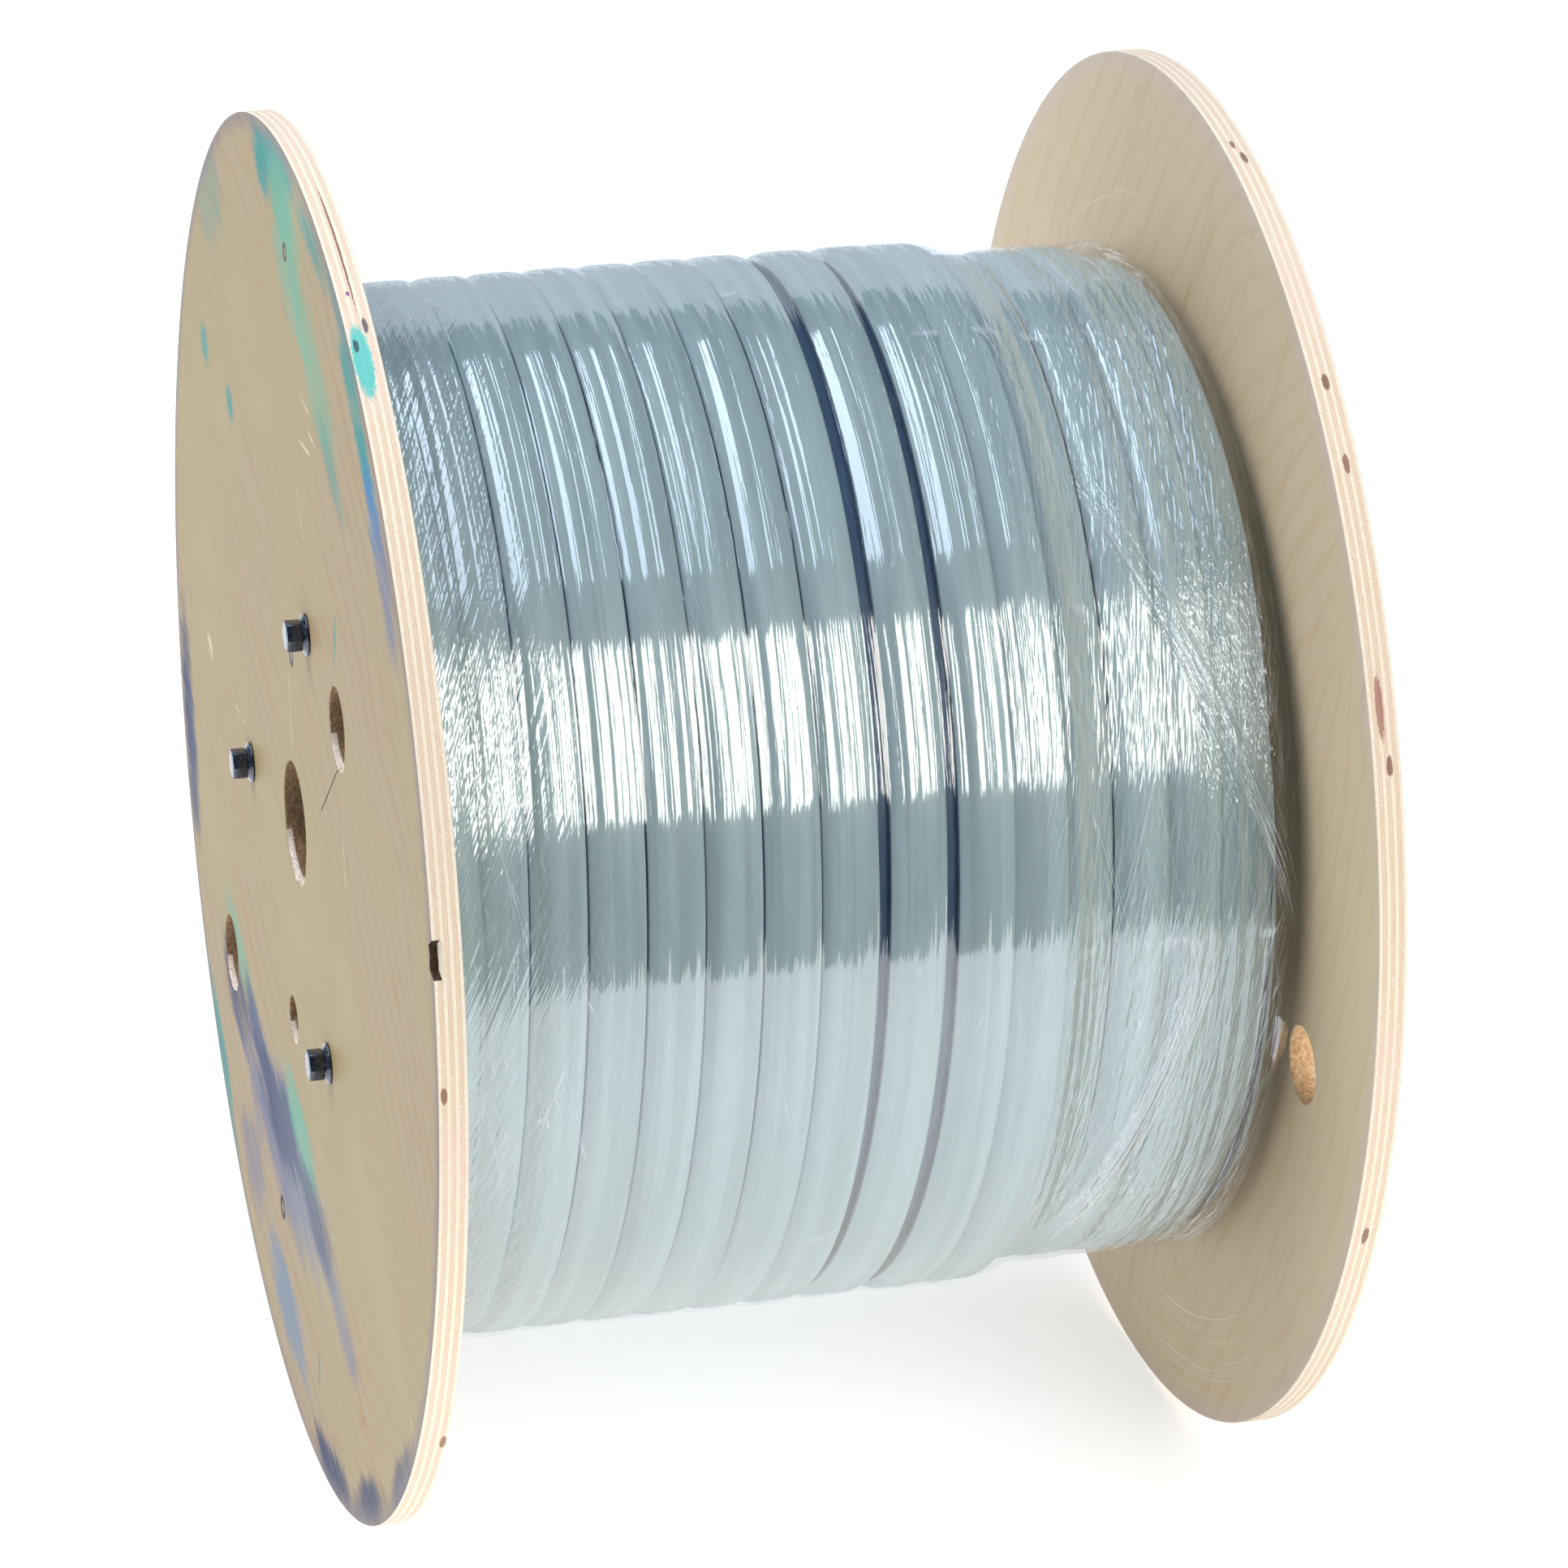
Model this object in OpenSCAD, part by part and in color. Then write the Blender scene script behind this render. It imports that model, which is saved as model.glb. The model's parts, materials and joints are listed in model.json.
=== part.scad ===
// Plywood cable drum with two round flanges, a fibre barrel and three tie bolts,
// wound full with flat cable and wrapped in clear film.
// Millimetres. The drum's axis runs along X and it stands on its rims at Z = 0.
// Angles are measured round the axis from +Y towards +Z.

/* [Flanges] */
// outside diameter of both plywood flanges
flange_diameter = 500; // [420:5:640]
// plywood thickness of each flange
flange_thickness = 10; // [8:0.5:18]
// clear width between the two flanges
traverse = 307; // [240:1:400]
// hole for the spindle, through the middle of both flanges
arbor_diameter = 42; // [30:1:60]

/* [Barrel] */
// outside diameter of the fibre barrel
barrel_diameter = 193; // [160:1:240]
// wall of the fibre barrel
barrel_wall = 4; // [3:0.5:8]
// depth of the groove in each flange that the barrel's end stands in
groove_depth = 3; // [1:0.5:5]
// space between the barrel's end and each side of its groove
groove_clearance = 0.2; // [0:0.05:0.5]

/* [Tie bolts] */
// thread diameter of the tie bolts
bolt_diameter = 6; // [5:1:8]
// space round each bolt in its flange holes
bolt_clearance = 0.25; // [0.2:0.05:1]
// distance from the barrel's inside wall in to each bolt's axis
bolt_inset = 3.5; // [3.5:0.5:12]
// angle of the first tie bolt
bolt_angle = 112.5; // [90:0.5:135]
// diameter of the round flange under each head
head_flange_diameter = 15; // [13:0.5:18]
// thickness of the round flange under each head
head_flange_thickness = 1.5; // [1:0.1:2.5]
// hexagon of the heads and nuts, across flats
hex_flats = 10; // [8:0.5:12]
// height of the whole head, from the plywood up
head_height = 7.5; // [6:0.5:10]
// height of each nut, from the plywood up
nut_height = 6; // [5:0.5:8]
// space between the thread and its nut
thread_clearance = 0.1; // [0.05:0.05:0.3]

/* [Holes in the flanges] */
// diameter of the start hole and of the end hole
cable_hole_diameter = 27; // [20:1:32]
// diameter of the drive hole
drive_hole_diameter = 16; // [12:1:20]
// distance from the barrel's outside wall out to the start hole's axis
start_hole_offset = 14.25; // [14:0.25:25]
// distance from the winding's outside in to the end hole's axis
end_hole_inset = 3; // [0:0.5:20]
// distance from the barrel's inside wall in to the drive hole's axis
drive_hole_inset = 8.75; // [8.5:0.25:25]
// angle of the start hole in the left flange
start_hole_angle = 142; // [130:1:155]
// angle of the end hole in the left flange
end_hole_angle = -37; // [-60:1:-20]
// angle of the drive hole in the left flange
drive_hole_angle = -80; // [-100:1:-60]
// how far the right flange's holes are turned round the axis from the left flange's
right_holes_turn = -126; // [-140:1:-110]

/* [Cable] */
// width of the flat cable
cable_width = 19.3; // [16:0.1:24]
// thickness of the flat cable
cable_thickness = 5.33; // [4.4:0.01:6.4]
// space between neighbouring turns
turn_gap = 0.6; // [0.2:0.1:1.5]
// number of layers from the barrel out
layers = 17; // [12:1:18]
// number of turns in the part-filled top layer
top_turns = 11; // [8:1:14]
// least space left between the last turn and the right flange
end_space = 8; // [4:0.5:15]
// radius worn by the cable's rounded edges, as the groove between two turns
edge_round = 1.5; // [0.8:0.1:2.4]

/* [Film] */
// thickness of the film, all its turns together
film_thickness = 0.4; // [0.3:0.05:1]
// width of the film's lip, folded down over the last turn
film_lip = 9; // [4:1:20]
// width over which the film slopes down from the top layer
film_slope = 14; // [8:1:30]

/* [Hidden] */
$fn = 96;
flange_r = flange_diameter / 2;
half = traverse / 2;
barrel_r = barrel_diameter / 2;
barrel_inner_r = barrel_r - barrel_wall;
bolt_r = barrel_inner_r - bolt_inset;
bolt_hole_diameter = bolt_diameter + 2 * bolt_clearance;
tail = head_height;
turn_pitch = cable_width + turn_gap;
turns = floor((traverse - end_space) / turn_pitch);
winding_end = -half + turns * turn_pitch;
low_r = barrel_r + (layers - 1) * cable_thickness;
top_r = low_r + cable_thickness;
step_turns = min(top_turns, turns);
step_x = -half + step_turns * turn_pitch;
start_hole_r = barrel_r + start_hole_offset;
end_hole_r = top_r - end_hole_inset;
drive_hole_r = barrel_inner_r - drive_hole_inset;
hex_corner_r = hex_flats / 2 / cos(30);
bore_cut = 1;

// Stands a shape that was drawn along Z on the drum's axis.
module on_axis(x) {
    translate([x, 0, flange_r]) rotate([90, 0, 90]) children();
}

// Moves a shape from the axis out to a radius and an angle round it.
module around(radius, angle) {
    rotate([0, 0, angle]) translate([radius, 0, 0]) children();
}

// A plain hole through one flange.
module flange_hole(radius, angle, diameter) {
    around(radius, angle)
        translate([0, 0, -bore_cut])
            cylinder(d = diameter, h = flange_thickness + 2 * bore_cut);
}

// One flange: its holes are turned by turn, and its groove is cut up from groove_z.
module flange(turn, groove_z) {
    difference() {
        cylinder(r = flange_r, h = flange_thickness);
        flange_hole(0, 0, arbor_diameter);
        for (i = [0 : 2])
            flange_hole(bolt_r, bolt_angle - 120 * i, bolt_hole_diameter);
        flange_hole(start_hole_r, start_hole_angle + turn, cable_hole_diameter);
        flange_hole(end_hole_r, end_hole_angle + turn, cable_hole_diameter);
        flange_hole(drive_hole_r, drive_hole_angle + turn, drive_hole_diameter);
        translate([0, 0, groove_z]) barrel_groove();
    }
}

// The ring routed into a flange for the barrel's end, open on both its faces.
module barrel_groove() {
    rotate_extrude()
        translate([barrel_inner_r - groove_clearance, 0])
            square([barrel_wall + 2 * groove_clearance, groove_depth + bore_cut]);
}

// Hexagon with its top corners turned off.
module chamfered_hex(height) {
    intersection() {
        cylinder(r = hex_corner_r, h = height, $fn = 6);
        rotate_extrude()
            polygon([
                [0, 0],
                [hex_corner_r + 1, 0],
                [hex_corner_r + 1, height - (hex_corner_r + 1 - hex_flats / 2) * tan(30)],
                [hex_flats / 2, height],
                [0, height]
            ]);
    }
}

// Hexagon on its own round flange, for the heads and the nuts.
module flanged_hex(height) {
    cylinder(d = head_flange_diameter, h = head_flange_thickness);
    chamfered_hex(height);
}

// Tie bolt drawn along Z: its head is below z = 0 and its thread runs up.
module tie_bolt(angle) {
    around(bolt_r, angle) {
        rotate([180, 0, 0]) flanged_hex(head_height);
        cylinder(d = bolt_diameter, h = traverse + 2 * flange_thickness + tail);
    }
}

module nut(angle) {
    around(bolt_r, angle)
        difference() {
            flanged_hex(nut_height);
            translate([0, 0, -bore_cut])
                cylinder(
                    d = bolt_diameter + 2 * thread_clearance,
                    h = nut_height + 2 * bore_cut
                );
        }
}

// Outline of one end of the winding at x, from the bore out: each layer shows a rounded edge.
// side is 1 where the cable lies on the +X side of the end, and -1 where it lies on the -X side.
function end_outline(x, side, count) = [
    for (i = [0 : count - 1], step = [0 : 2])
        let (base = barrel_r + i * cable_thickness)
        step == 0 ? [base, x + side * edge_round] :
        step == 1 ? [base + edge_round, x] :
        [base + cable_thickness - edge_round, x]
];

// Outline of the turns from one count to another at radius r: each has a flat crown, and a
// groove follows each turn but the very last, which ends in the right end's outline.
function turn_outline(first, last, r) = [
    for (i = [first : last - 1], step = [0 : 2])
        let (x = -half + i * turn_pitch)
        if (i < turns - 1 || step < 2)
            step == 0 ? [r, x + edge_round] :
            step == 1 ? [r, x + turn_pitch - edge_round] :
            [r - edge_round, x + turn_pitch]
];

// The same points in the opposite order.
function backwards(points) = [for (i = [len(points) - 1 : -1 : 0]) points[i]];

module flange_left() {
    color("BurlyWood")
        on_axis(-half - flange_thickness)
            flange(0, flange_thickness - groove_depth);
}

module flange_right() {
    color("BurlyWood")
        on_axis(half)
            flange(right_holes_turn, -bore_cut);
}

module barrel() {
    color("Peru")
        on_axis(-half - groove_depth)
            difference() {
                cylinder(r = barrel_r, h = traverse + 2 * groove_depth);
                translate([0, 0, -bore_cut])
                    cylinder(r = barrel_inner_r, h = traverse + 2 * groove_depth + 2 * bore_cut);
            }
}

module tie_bolt_1() {
    color("DimGray") on_axis(-half - flange_thickness) tie_bolt(bolt_angle);
}

module tie_bolt_2() {
    color("DimGray") on_axis(-half - flange_thickness) tie_bolt(bolt_angle - 120);
}

module tie_bolt_3() {
    color("DimGray") on_axis(-half - flange_thickness) tie_bolt(bolt_angle - 240);
}

module nut_1() {
    color("Gray") on_axis(half + flange_thickness) nut(bolt_angle);
}

module nut_2() {
    color("Gray") on_axis(half + flange_thickness) nut(bolt_angle - 120);
}

module nut_3() {
    color("Gray") on_axis(half + flange_thickness) nut(bolt_angle - 240);
}

module cable_winding() {
    color("LightSlateGray")
        on_axis(0)
            rotate_extrude()
                polygon(concat(
                    end_outline(-half, 1, layers),
                    turn_outline(0, step_turns, top_r),
                    step_turns < turns ? turn_outline(step_turns, turns, low_r) : [],
                    backwards(end_outline(winding_end, -1, step_turns < turns ? layers - 1 : layers))
                ));
}

module stretch_film() {
    sleeve = [
        [top_r, -half + edge_round],
        [top_r, step_x - edge_round],
        [low_r, min(step_x + film_slope, winding_end - 2 * edge_round)],
        [low_r, winding_end - edge_round],
        [low_r - edge_round, winding_end],
        [low_r - film_lip, winding_end]
    ];
    outside = [
        [top_r + film_thickness, sleeve[0][1]],
        [top_r + film_thickness, sleeve[1][1]],
        [low_r + film_thickness, sleeve[2][1]],
        [low_r + film_thickness, sleeve[3][1]],
        [low_r - edge_round + film_thickness, winding_end + film_thickness],
        [low_r - film_lip, winding_end + film_thickness]
    ];
    color("AliceBlue", 0.4)
        on_axis(0)
            rotate_extrude() polygon(concat(sleeve, backwards(outside)));
}

flange_left();
flange_right();
barrel();
tie_bolt_1();
tie_bolt_2();
tie_bolt_3();
nut_1();
nut_2();
nut_3();
cable_winding();
stretch_film();
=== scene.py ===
"""Plywood cable drum, wound with flat cable and wrapped in clear film."""

import json
import math

import bmesh
import bpy
from bpy.props import FloatProperty, FloatVectorProperty, IntProperty, PointerProperty
from mathutils import Matrix, Vector, noise


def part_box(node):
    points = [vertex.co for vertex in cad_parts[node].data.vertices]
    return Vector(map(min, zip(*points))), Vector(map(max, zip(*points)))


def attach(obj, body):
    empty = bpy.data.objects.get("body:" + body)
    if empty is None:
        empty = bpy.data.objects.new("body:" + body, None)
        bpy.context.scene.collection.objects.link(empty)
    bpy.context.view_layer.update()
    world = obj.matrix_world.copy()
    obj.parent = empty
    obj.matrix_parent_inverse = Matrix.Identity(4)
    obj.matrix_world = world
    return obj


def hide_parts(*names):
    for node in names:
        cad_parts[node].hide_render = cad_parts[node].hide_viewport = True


bl_info = {
    "name": "Cable Drum",
    "version": (1, 0, 0),
    "blender": (4, 5, 0),
    "location": "3D View > Sidebar > Cable Drum",
    "description": "Builds a plywood cable drum wound with flat cable under clear film",
    "category": "Add Mesh",
}

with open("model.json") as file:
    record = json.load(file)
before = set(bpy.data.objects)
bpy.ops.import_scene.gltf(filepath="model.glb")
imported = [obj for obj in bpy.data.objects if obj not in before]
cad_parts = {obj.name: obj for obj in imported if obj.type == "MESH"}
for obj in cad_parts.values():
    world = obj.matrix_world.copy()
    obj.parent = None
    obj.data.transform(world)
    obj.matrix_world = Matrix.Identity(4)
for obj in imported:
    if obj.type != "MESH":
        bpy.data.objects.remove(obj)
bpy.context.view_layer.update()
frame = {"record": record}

MM = 0.001

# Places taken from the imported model.
LEFT_LOW, LEFT_HIGH = (Vector(corner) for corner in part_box("flange_left"))
RIGHT_LOW, RIGHT_HIGH = (Vector(corner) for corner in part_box("flange_right"))
WOUND_LOW, WOUND_HIGH = (Vector(corner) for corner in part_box("cable_winding"))
MOUNTS = {mount["name"]: mount for mount in frame["record"]["mounts"]}
FLANGE_RADIUS = (LEFT_HIGH.z - LEFT_LOW.z) / 2
PLY_DEPTH = LEFT_HIGH.x - LEFT_LOW.x
AXIS = Vector((0, 0, (LEFT_HIGH.z + LEFT_LOW.z) / 2))
TOP_RADIUS = (WOUND_HIGH.z - WOUND_LOW.z) / 2

# The winding's own pattern. A place along the cable is counted in turns, and turn 0 passes
# the count angle against the left flange. Angles are in degrees, up from the front.
COUNT_ANGLE = 20
TURN_STEPS = 120
TOP_TURNS = 11
ALL_TURNS = 15

# Length of one degree round the winding's top.
FILM_ARC = math.radians(1) * TOP_RADIUS

# Where the saw opened a knot in the left rim, in degrees, and how deep the hole goes.
KNOT_ANGLE = 11
KNOT_DEPTH = 2.9 * MM

WELD = 1e-6


# ---------------------------------------------------------------- settings


class PlywoodSettings(bpy.types.PropertyGroup):
    """Sizes and colours of the plywood flanges."""

    plies: IntProperty(
        name="Plies", description="Number of veneers glued into a flange", default=7, min=3
    )
    rim_segments: IntProperty(
        name="Rim segments", description="Straight steps round a flange's rim", default=720
    )
    edge_round: FloatProperty(
        name="Edge round",
        description="Radius that sanding left on the flange's edges",
        default=0.6 * MM,
        unit="LENGTH",
    )
    fuzz: FloatProperty(
        name="Fuzz",
        description="How deep the saw left the end grain rough",
        default=0.22 * MM,
        unit="LENGTH",
    )
    tear: FloatProperty(
        name="Tear-out",
        description="How far the drill tore the face veneer below each hole",
        default=3.2 * MM,
        unit="LENGTH",
    )
    grain_turn: FloatProperty(
        name="Grain turn",
        description="Angle of the face grain from level",
        default=math.radians(24),
        subtype="ANGLE",
    )
    worn_face: FloatVectorProperty(
        name="Worn face",
        description="Colour of the handled outer veneer",
        default=(0.37, 0.285, 0.13),
        subtype="COLOR",
    )
    clean_face: FloatVectorProperty(
        name="Clean face",
        description="Colour of the clean inner veneer",
        default=(0.66, 0.53, 0.34),
        subtype="COLOR",
    )


class CableSettings(bpy.types.PropertyGroup):
    """Sizes and colour of the flat cable, and the shade painted down between its turns."""

    width: FloatProperty(
        name="Width", description="Width of the flat cable", default=19.3 * MM, unit="LENGTH"
    )
    thickness: FloatProperty(
        name="Thickness", description="Full thickness", default=5.33 * MM, unit="LENGTH"
    )
    key_width: FloatProperty(
        name="Key width",
        description="Width of the sloped shoulder that keys the cable",
        default=5.6 * MM,
        unit="LENGTH",
    )
    key_height: FloatProperty(
        name="Key height",
        description="Height of the thin edge beside the shoulder",
        default=2.7 * MM,
        unit="LENGTH",
    )
    pitch: FloatProperty(
        name="Pitch", description="Step from turn to turn", default=19.9 * MM, unit="LENGTH"
    )
    colour: FloatVectorProperty(
        name="Jacket",
        description="Colour of the jacket",
        default=(0.32, 0.40, 0.39),
        subtype="COLOR",
    )
    # Painted shade: a dark navy that stands in for the shade down between the turns, not a colour
    # of the jacket.
    gap_shade_colour: FloatVectorProperty(
        name="Sides",
        description="Colour of the jacket down between the turns",
        default=(0.035, 0.075, 0.13),
        subtype="COLOR",
    )


class FilmSettings(bpy.types.PropertyGroup):
    """Sizes of the clear stretch film."""

    thickness: FloatProperty(
        name="Thickness",
        description="Thickness of all its turns together",
        default=0.25 * MM,
        unit="LENGTH",
    )
    steps_round: IntProperty(
        name="Steps round", description="Steps round the drum", default=330
    )
    steps_across: IntProperty(
        name="Steps across", description="Steps across the winding", default=132
    )
    crumple: FloatProperty(
        name="Crumple",
        description="Height of the loose creases",
        default=1.0 * MM,
        unit="LENGTH",
    )


class BoltSettings(bpy.types.PropertyGroup):
    """Sizes and colour of the tie bolts and nuts."""

    edge_round: FloatProperty(
        name="Edge round",
        description="Radius on the forged edges",
        default=0.35 * MM,
        unit="LENGTH",
    )
    colour: FloatVectorProperty(
        name="Oxide",
        description="Colour of the black oxide",
        default=(0.012, 0.018, 0.034),
        subtype="COLOR",
    )


class StageSettings(bpy.types.PropertyGroup):
    """Camera and lamps."""

    azimuth: FloatProperty(
        name="Azimuth",
        description="Camera's angle round the drum from square on",
        default=math.radians(-14.43),
        subtype="ANGLE",
    )
    elevation: FloatProperty(
        name="Elevation",
        description="Camera's angle above level",
        default=math.radians(21.69),
        subtype="ANGLE",
    )
    distance: FloatProperty(
        name="Distance",
        description="From the camera to the point it aims at",
        default=2.3927,
        unit="LENGTH",
    )
    aim: FloatVectorProperty(
        name="Aim",
        description="The point aimed at, from the drum's middle",
        default=(0.01395, -0.0040, -0.0023),
        subtype="TRANSLATION",
    )
    focal_length: FloatProperty(
        name="Focal length", description="In millimetres", default=152.94
    )
    floor_size: FloatProperty(
        name="Floor size", description="Side of the floor", default=24.0, unit="LENGTH"
    )
    floor_near: FloatProperty(
        name="Bright floor",
        description="How far in front of the drum the floor shows in the film",
        default=0.9,
        unit="LENGTH",
    )
    floor_colour: FloatVectorProperty(
        name="Floor", description="Colour of the floor", default=(0.9, 0.9, 0.9), subtype="COLOR"
    )


# ---------------------------------------------------------------- small tools


def smooth(value, start, end):
    """0 before start, 1 after end, and an even ease between them."""
    share = min(max((value - start) / (end - start), 0.0), 1.0)
    return share * share * (3 - 2 * share)


def hump(value, middle, reach):
    """1 at the middle, easing to 0 at the reach on both sides."""
    return 1 - smooth(abs(value - middle), 0, reach)


def front_angle(co):
    """Angle of a point round the axle, in degrees up from the front, from -160 to 200."""
    angle = math.degrees(math.atan2(co.z - AXIS.z, -co.y))
    return angle + 360 if angle < -160 else angle


def round_axle(angle, radius, x):
    """The point at an angle in degrees up from the front."""
    turn = math.radians(angle)
    return Vector((x, -radius * math.cos(turn), AXIS.z + radius * math.sin(turn)))


def axle_radius(co):
    return math.hypot(co.y, co.z - AXIS.z)


def move_out(vert, distance):
    """Moves a vertex away from the axle."""
    away = Vector((0, vert.co.y, vert.co.z - AXIS.z)).normalized()
    vert.co += away * distance


def finished(name, bm, materials, replaces=(), smooth_angle=math.radians(35)):
    """Turns a bmesh into a piece that rides on the drum."""
    for edge in bm.edges:
        edge.smooth = edge.is_manifold and edge.calc_face_angle(0) < smooth_angle
    for face in bm.faces:
        face.smooth = True
    mesh = bpy.data.meshes.new(name)
    bm.to_mesh(mesh)
    bm.free()
    for material in materials:
        mesh.materials.append(material)
    piece = bpy.data.objects.new(name, mesh)
    bpy.context.collection.objects.link(piece)
    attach(piece, "root")
    if replaces:
        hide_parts(*replaces)
    return piece


class NodeSheet:
    """A material's nodes, added and linked one after another."""

    def __init__(self, name):
        self.material = bpy.data.materials.new(name)
        self.material.use_nodes = True
        self.tree = self.material.node_tree
        self.tree.nodes.clear()
        self.output = self.add("ShaderNodeOutputMaterial")
        self.place = self.add("ShaderNodeTexCoord").outputs["Object"]

    def add(self, kind, inputs=None, **settings):
        node = self.tree.nodes.new(kind)
        for key, value in settings.items():
            setattr(node, key, value)
        for key, value in (inputs or {}).items():
            self.feed(node.inputs[key], value)
        return node

    def feed(self, socket, value):
        if isinstance(value, bpy.types.NodeSocket):
            self.tree.links.new(value, socket)
        elif socket.type == "RGBA" and len(value) == 3:
            socket.default_value = (*value, 1)
        else:
            socket.default_value = value

    def math(self, operation, first, second=0.0):
        return self.add("ShaderNodeMath", {0: first, 1: second}, operation=operation).outputs[0]

    def times(self, *values):
        total = values[0]
        for value in values[1:]:
            total = self.math("MULTIPLY", total, value)
        return total

    def plus(self, *values):
        total = values[0]
        for value in values[1:]:
            total = self.math("ADD", total, value)
        return total

    def spread(self, value, low, high, new_low=0.0, new_high=1.0):
        """Eases a value's range from low to high onto a new range."""
        inputs = {
            "Value": value,
            "From Min": low,
            "From Max": high,
            "To Min": new_low,
            "To Max": new_high,
        }
        node = self.add("ShaderNodeMapRange", inputs, interpolation_type="SMOOTHSTEP")
        return node.outputs["Result"]

    def mix(self, factor, first, second):
        node = self.add("ShaderNodeMix", data_type="RGBA")
        self.feed(node.inputs[0], factor)
        self.feed(node.inputs[6], first)
        self.feed(node.inputs[7], second)
        return node.outputs[2]

    def ramp(self, factor, stops):
        """A colour ramp from (place, colour) pairs."""
        node = self.add("ShaderNodeValToRGB", {"Fac": factor})
        elements = node.color_ramp.elements
        while len(elements) < len(stops):
            elements.new(0.5)
        for element, (place, colour) in zip(elements, stops):
            element.position = place
            element.color = (*colour, 1)
        return node.outputs["Color"]

    def framed(self, centre=(0, 0, 0), turn=0.0, size=(1, 1, 1)):
        """Coordinates about a centre, turned about the axle's direction, in feature sizes."""
        inputs = {
            "Vector": self.place,
            "Location": centre,
            "Rotation": (turn, 0, 0),
            "Scale": size,
        }
        return self.add("ShaderNodeMapping", inputs, vector_type="TEXTURE").outputs[0]

    def noise(self, place, scale=1.0, detail=2.0, roughness=0.5, distortion=0.0):
        inputs = {
            "Vector": place,
            "Scale": scale,
            "Detail": detail,
            "Roughness": roughness,
            "Distortion": distortion,
        }
        return self.add("ShaderNodeTexNoise", inputs).outputs["Fac"]

    def length(self, first, second):
        """Length of a line with these two sides."""
        return self.math("SQRT", self.plus(self.times(first, first), self.times(second, second)))

    def parts(self, vector):
        return self.add("ShaderNodeSeparateXYZ", {0: vector}).outputs

    def joined(self, x, y, z):
        return self.add("ShaderNodeCombineXYZ", {0: x, 1: y, 2: z}).outputs[0]

    def bump(self, height, distance, strength=1.0):
        inputs = {"Height": height, "Distance": distance, "Strength": strength}
        return self.add("ShaderNodeBump", inputs).outputs[0]

    def finish(self, shader):
        self.feed(self.output.inputs["Surface"], shader)
        return self.material

    def principled(self, **inputs):
        named = {key.replace("_", " "): value for key, value in inputs.items()}
        return self.add("ShaderNodeBsdfPrincipled", named).outputs[0]


# ---------------------------------------------------------------- wood

TEAL = (0.02, 0.26, 0.24)
GREEN = (0.10, 0.36, 0.24)
BLUE = (0.03, 0.20, 0.42)
VIOLET = (0.13, 0.155, 0.27)
NAVY = (0.035, 0.05, 0.12)

# Paint rubbed onto the outer face: along, up, half length and half height in millimetres
# from the axle, its turn in degrees, its strength, and its colour.
RUBBED_PAINT = [
    (10, 240, 64, 9, -2, 0.95, TEAL),
    (-62, 232, 40, 8, 15, 0.95, TEAL),
    (-109, 223, 34, 7, 26, 0.7, TEAL),
    (28, 232, 20, 10, 24, 0.9, TEAL),
    (-12, 226, 40, 17, 24, 0.9, GREEN),
    (-22, 204, 48, 16, 26, 0.6, GREEN),
    (-60, 186, 60, 17, 30, 0.55, GREEN),
    (-88, 160, 34, 9, 30, 0.5, TEAL),
    (-128, 204, 30, 10, 32, 0.9, TEAL),
    (-148, 185, 28, 11, 38, 1.0, TEAL),
    (-162, 169, 26, 11, 42, 0.9, BLUE),
    (-180, 150, 38, 11, 49, 0.8, VIOLET),
    (164, 126, 12, 7, 24, 0.9, TEAL),
    (111, 119, 11, 6, 24, 0.9, TEAL),
    (140, 190, 40, 22, -38, 0.35, TEAL),
    (229, -45, 70, 14, 79, 1.0, NAVY),
    (176, -170, 56, 10, 47, 0.9, TEAL),
    (137, -123, 44, 18, 24, 0.9, NAVY),
    (128, -104, 40, 12, 24, 0.6, GREEN),
    (95, -124, 36, 13, 24, 0.85, NAVY),
    (40, -146, 118, 34, 5, 0.8, VIOLET),
    (57, -137, 62, 16, 12, 0.95, NAVY),
    (33, -133, 34, 12, 24, 0.95, NAVY),
    (2, -127, 52, 14, 30, 0.9, GREEN),
    (-22, -146, 52, 14, 14, 0.95, NAVY),
    (-68, -164, 40, 13, 24, 0.6, VIOLET),
    (112, -182, 34, 20, 24, 0.55, VIOLET),
    (42, -212, 56, 17, 16, 0.6, BLUE),
    (-38, -238, 56, 11, -8, 1.0, NAVY),
    (-112, -214, 50, 10, -27, 0.9, NAVY),
    (-170, -177, 44, 9, -44, 0.8, NAVY),
]

# Pen strokes: where they start and end, along and up.
PEN_STROKES = [((-90, 113), (-84, 85)), ((-20, -196), (-16, -220))]

# Pin knots on the outer face: along, up, width.
PIN_KNOTS = [(-12, 213, 7.4), (50, -174, 10), (-2, 63, 9)]

# Bright scratches: along, up, half length, half height, turn.
SCRATCHES = [
    (-28, 123, 23, 0.5, 58),
    (3, 40, 22, 0.8, 84),
    (-95, 20, 21, 0.8, 82),
    (174, 2, 8, 6, 30),
    (-200, -150, 22, 0.7, 38),
    (-42, 168, 10, 1.2, 8),
    (-40, 152, 14, 1.0, -4),
    (-50, 160, 16, 0.8, 6),
    (110, -1, 14, 1.0, 0),
]


def wood_noise(sheet, turn, seed):
    """Grain coordinates and the noises that every birch surface shares."""
    centre = (0, seed, AXIS.z)
    fine = sheet.noise(sheet.framed(centre, turn, (0.004, 0.030, 0.0011)), 1, 4, 0.6)
    streaks = sheet.noise(sheet.framed(centre, turn, (0.02, 0.15, 0.007)), 1, 3, 0.6, 0.8)
    clouds = sheet.noise(sheet.framed(centre, turn, (0.1, 0.11, 0.06)), 1, 3, 0.5, 0.4)
    return fine, streaks, clouds


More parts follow.
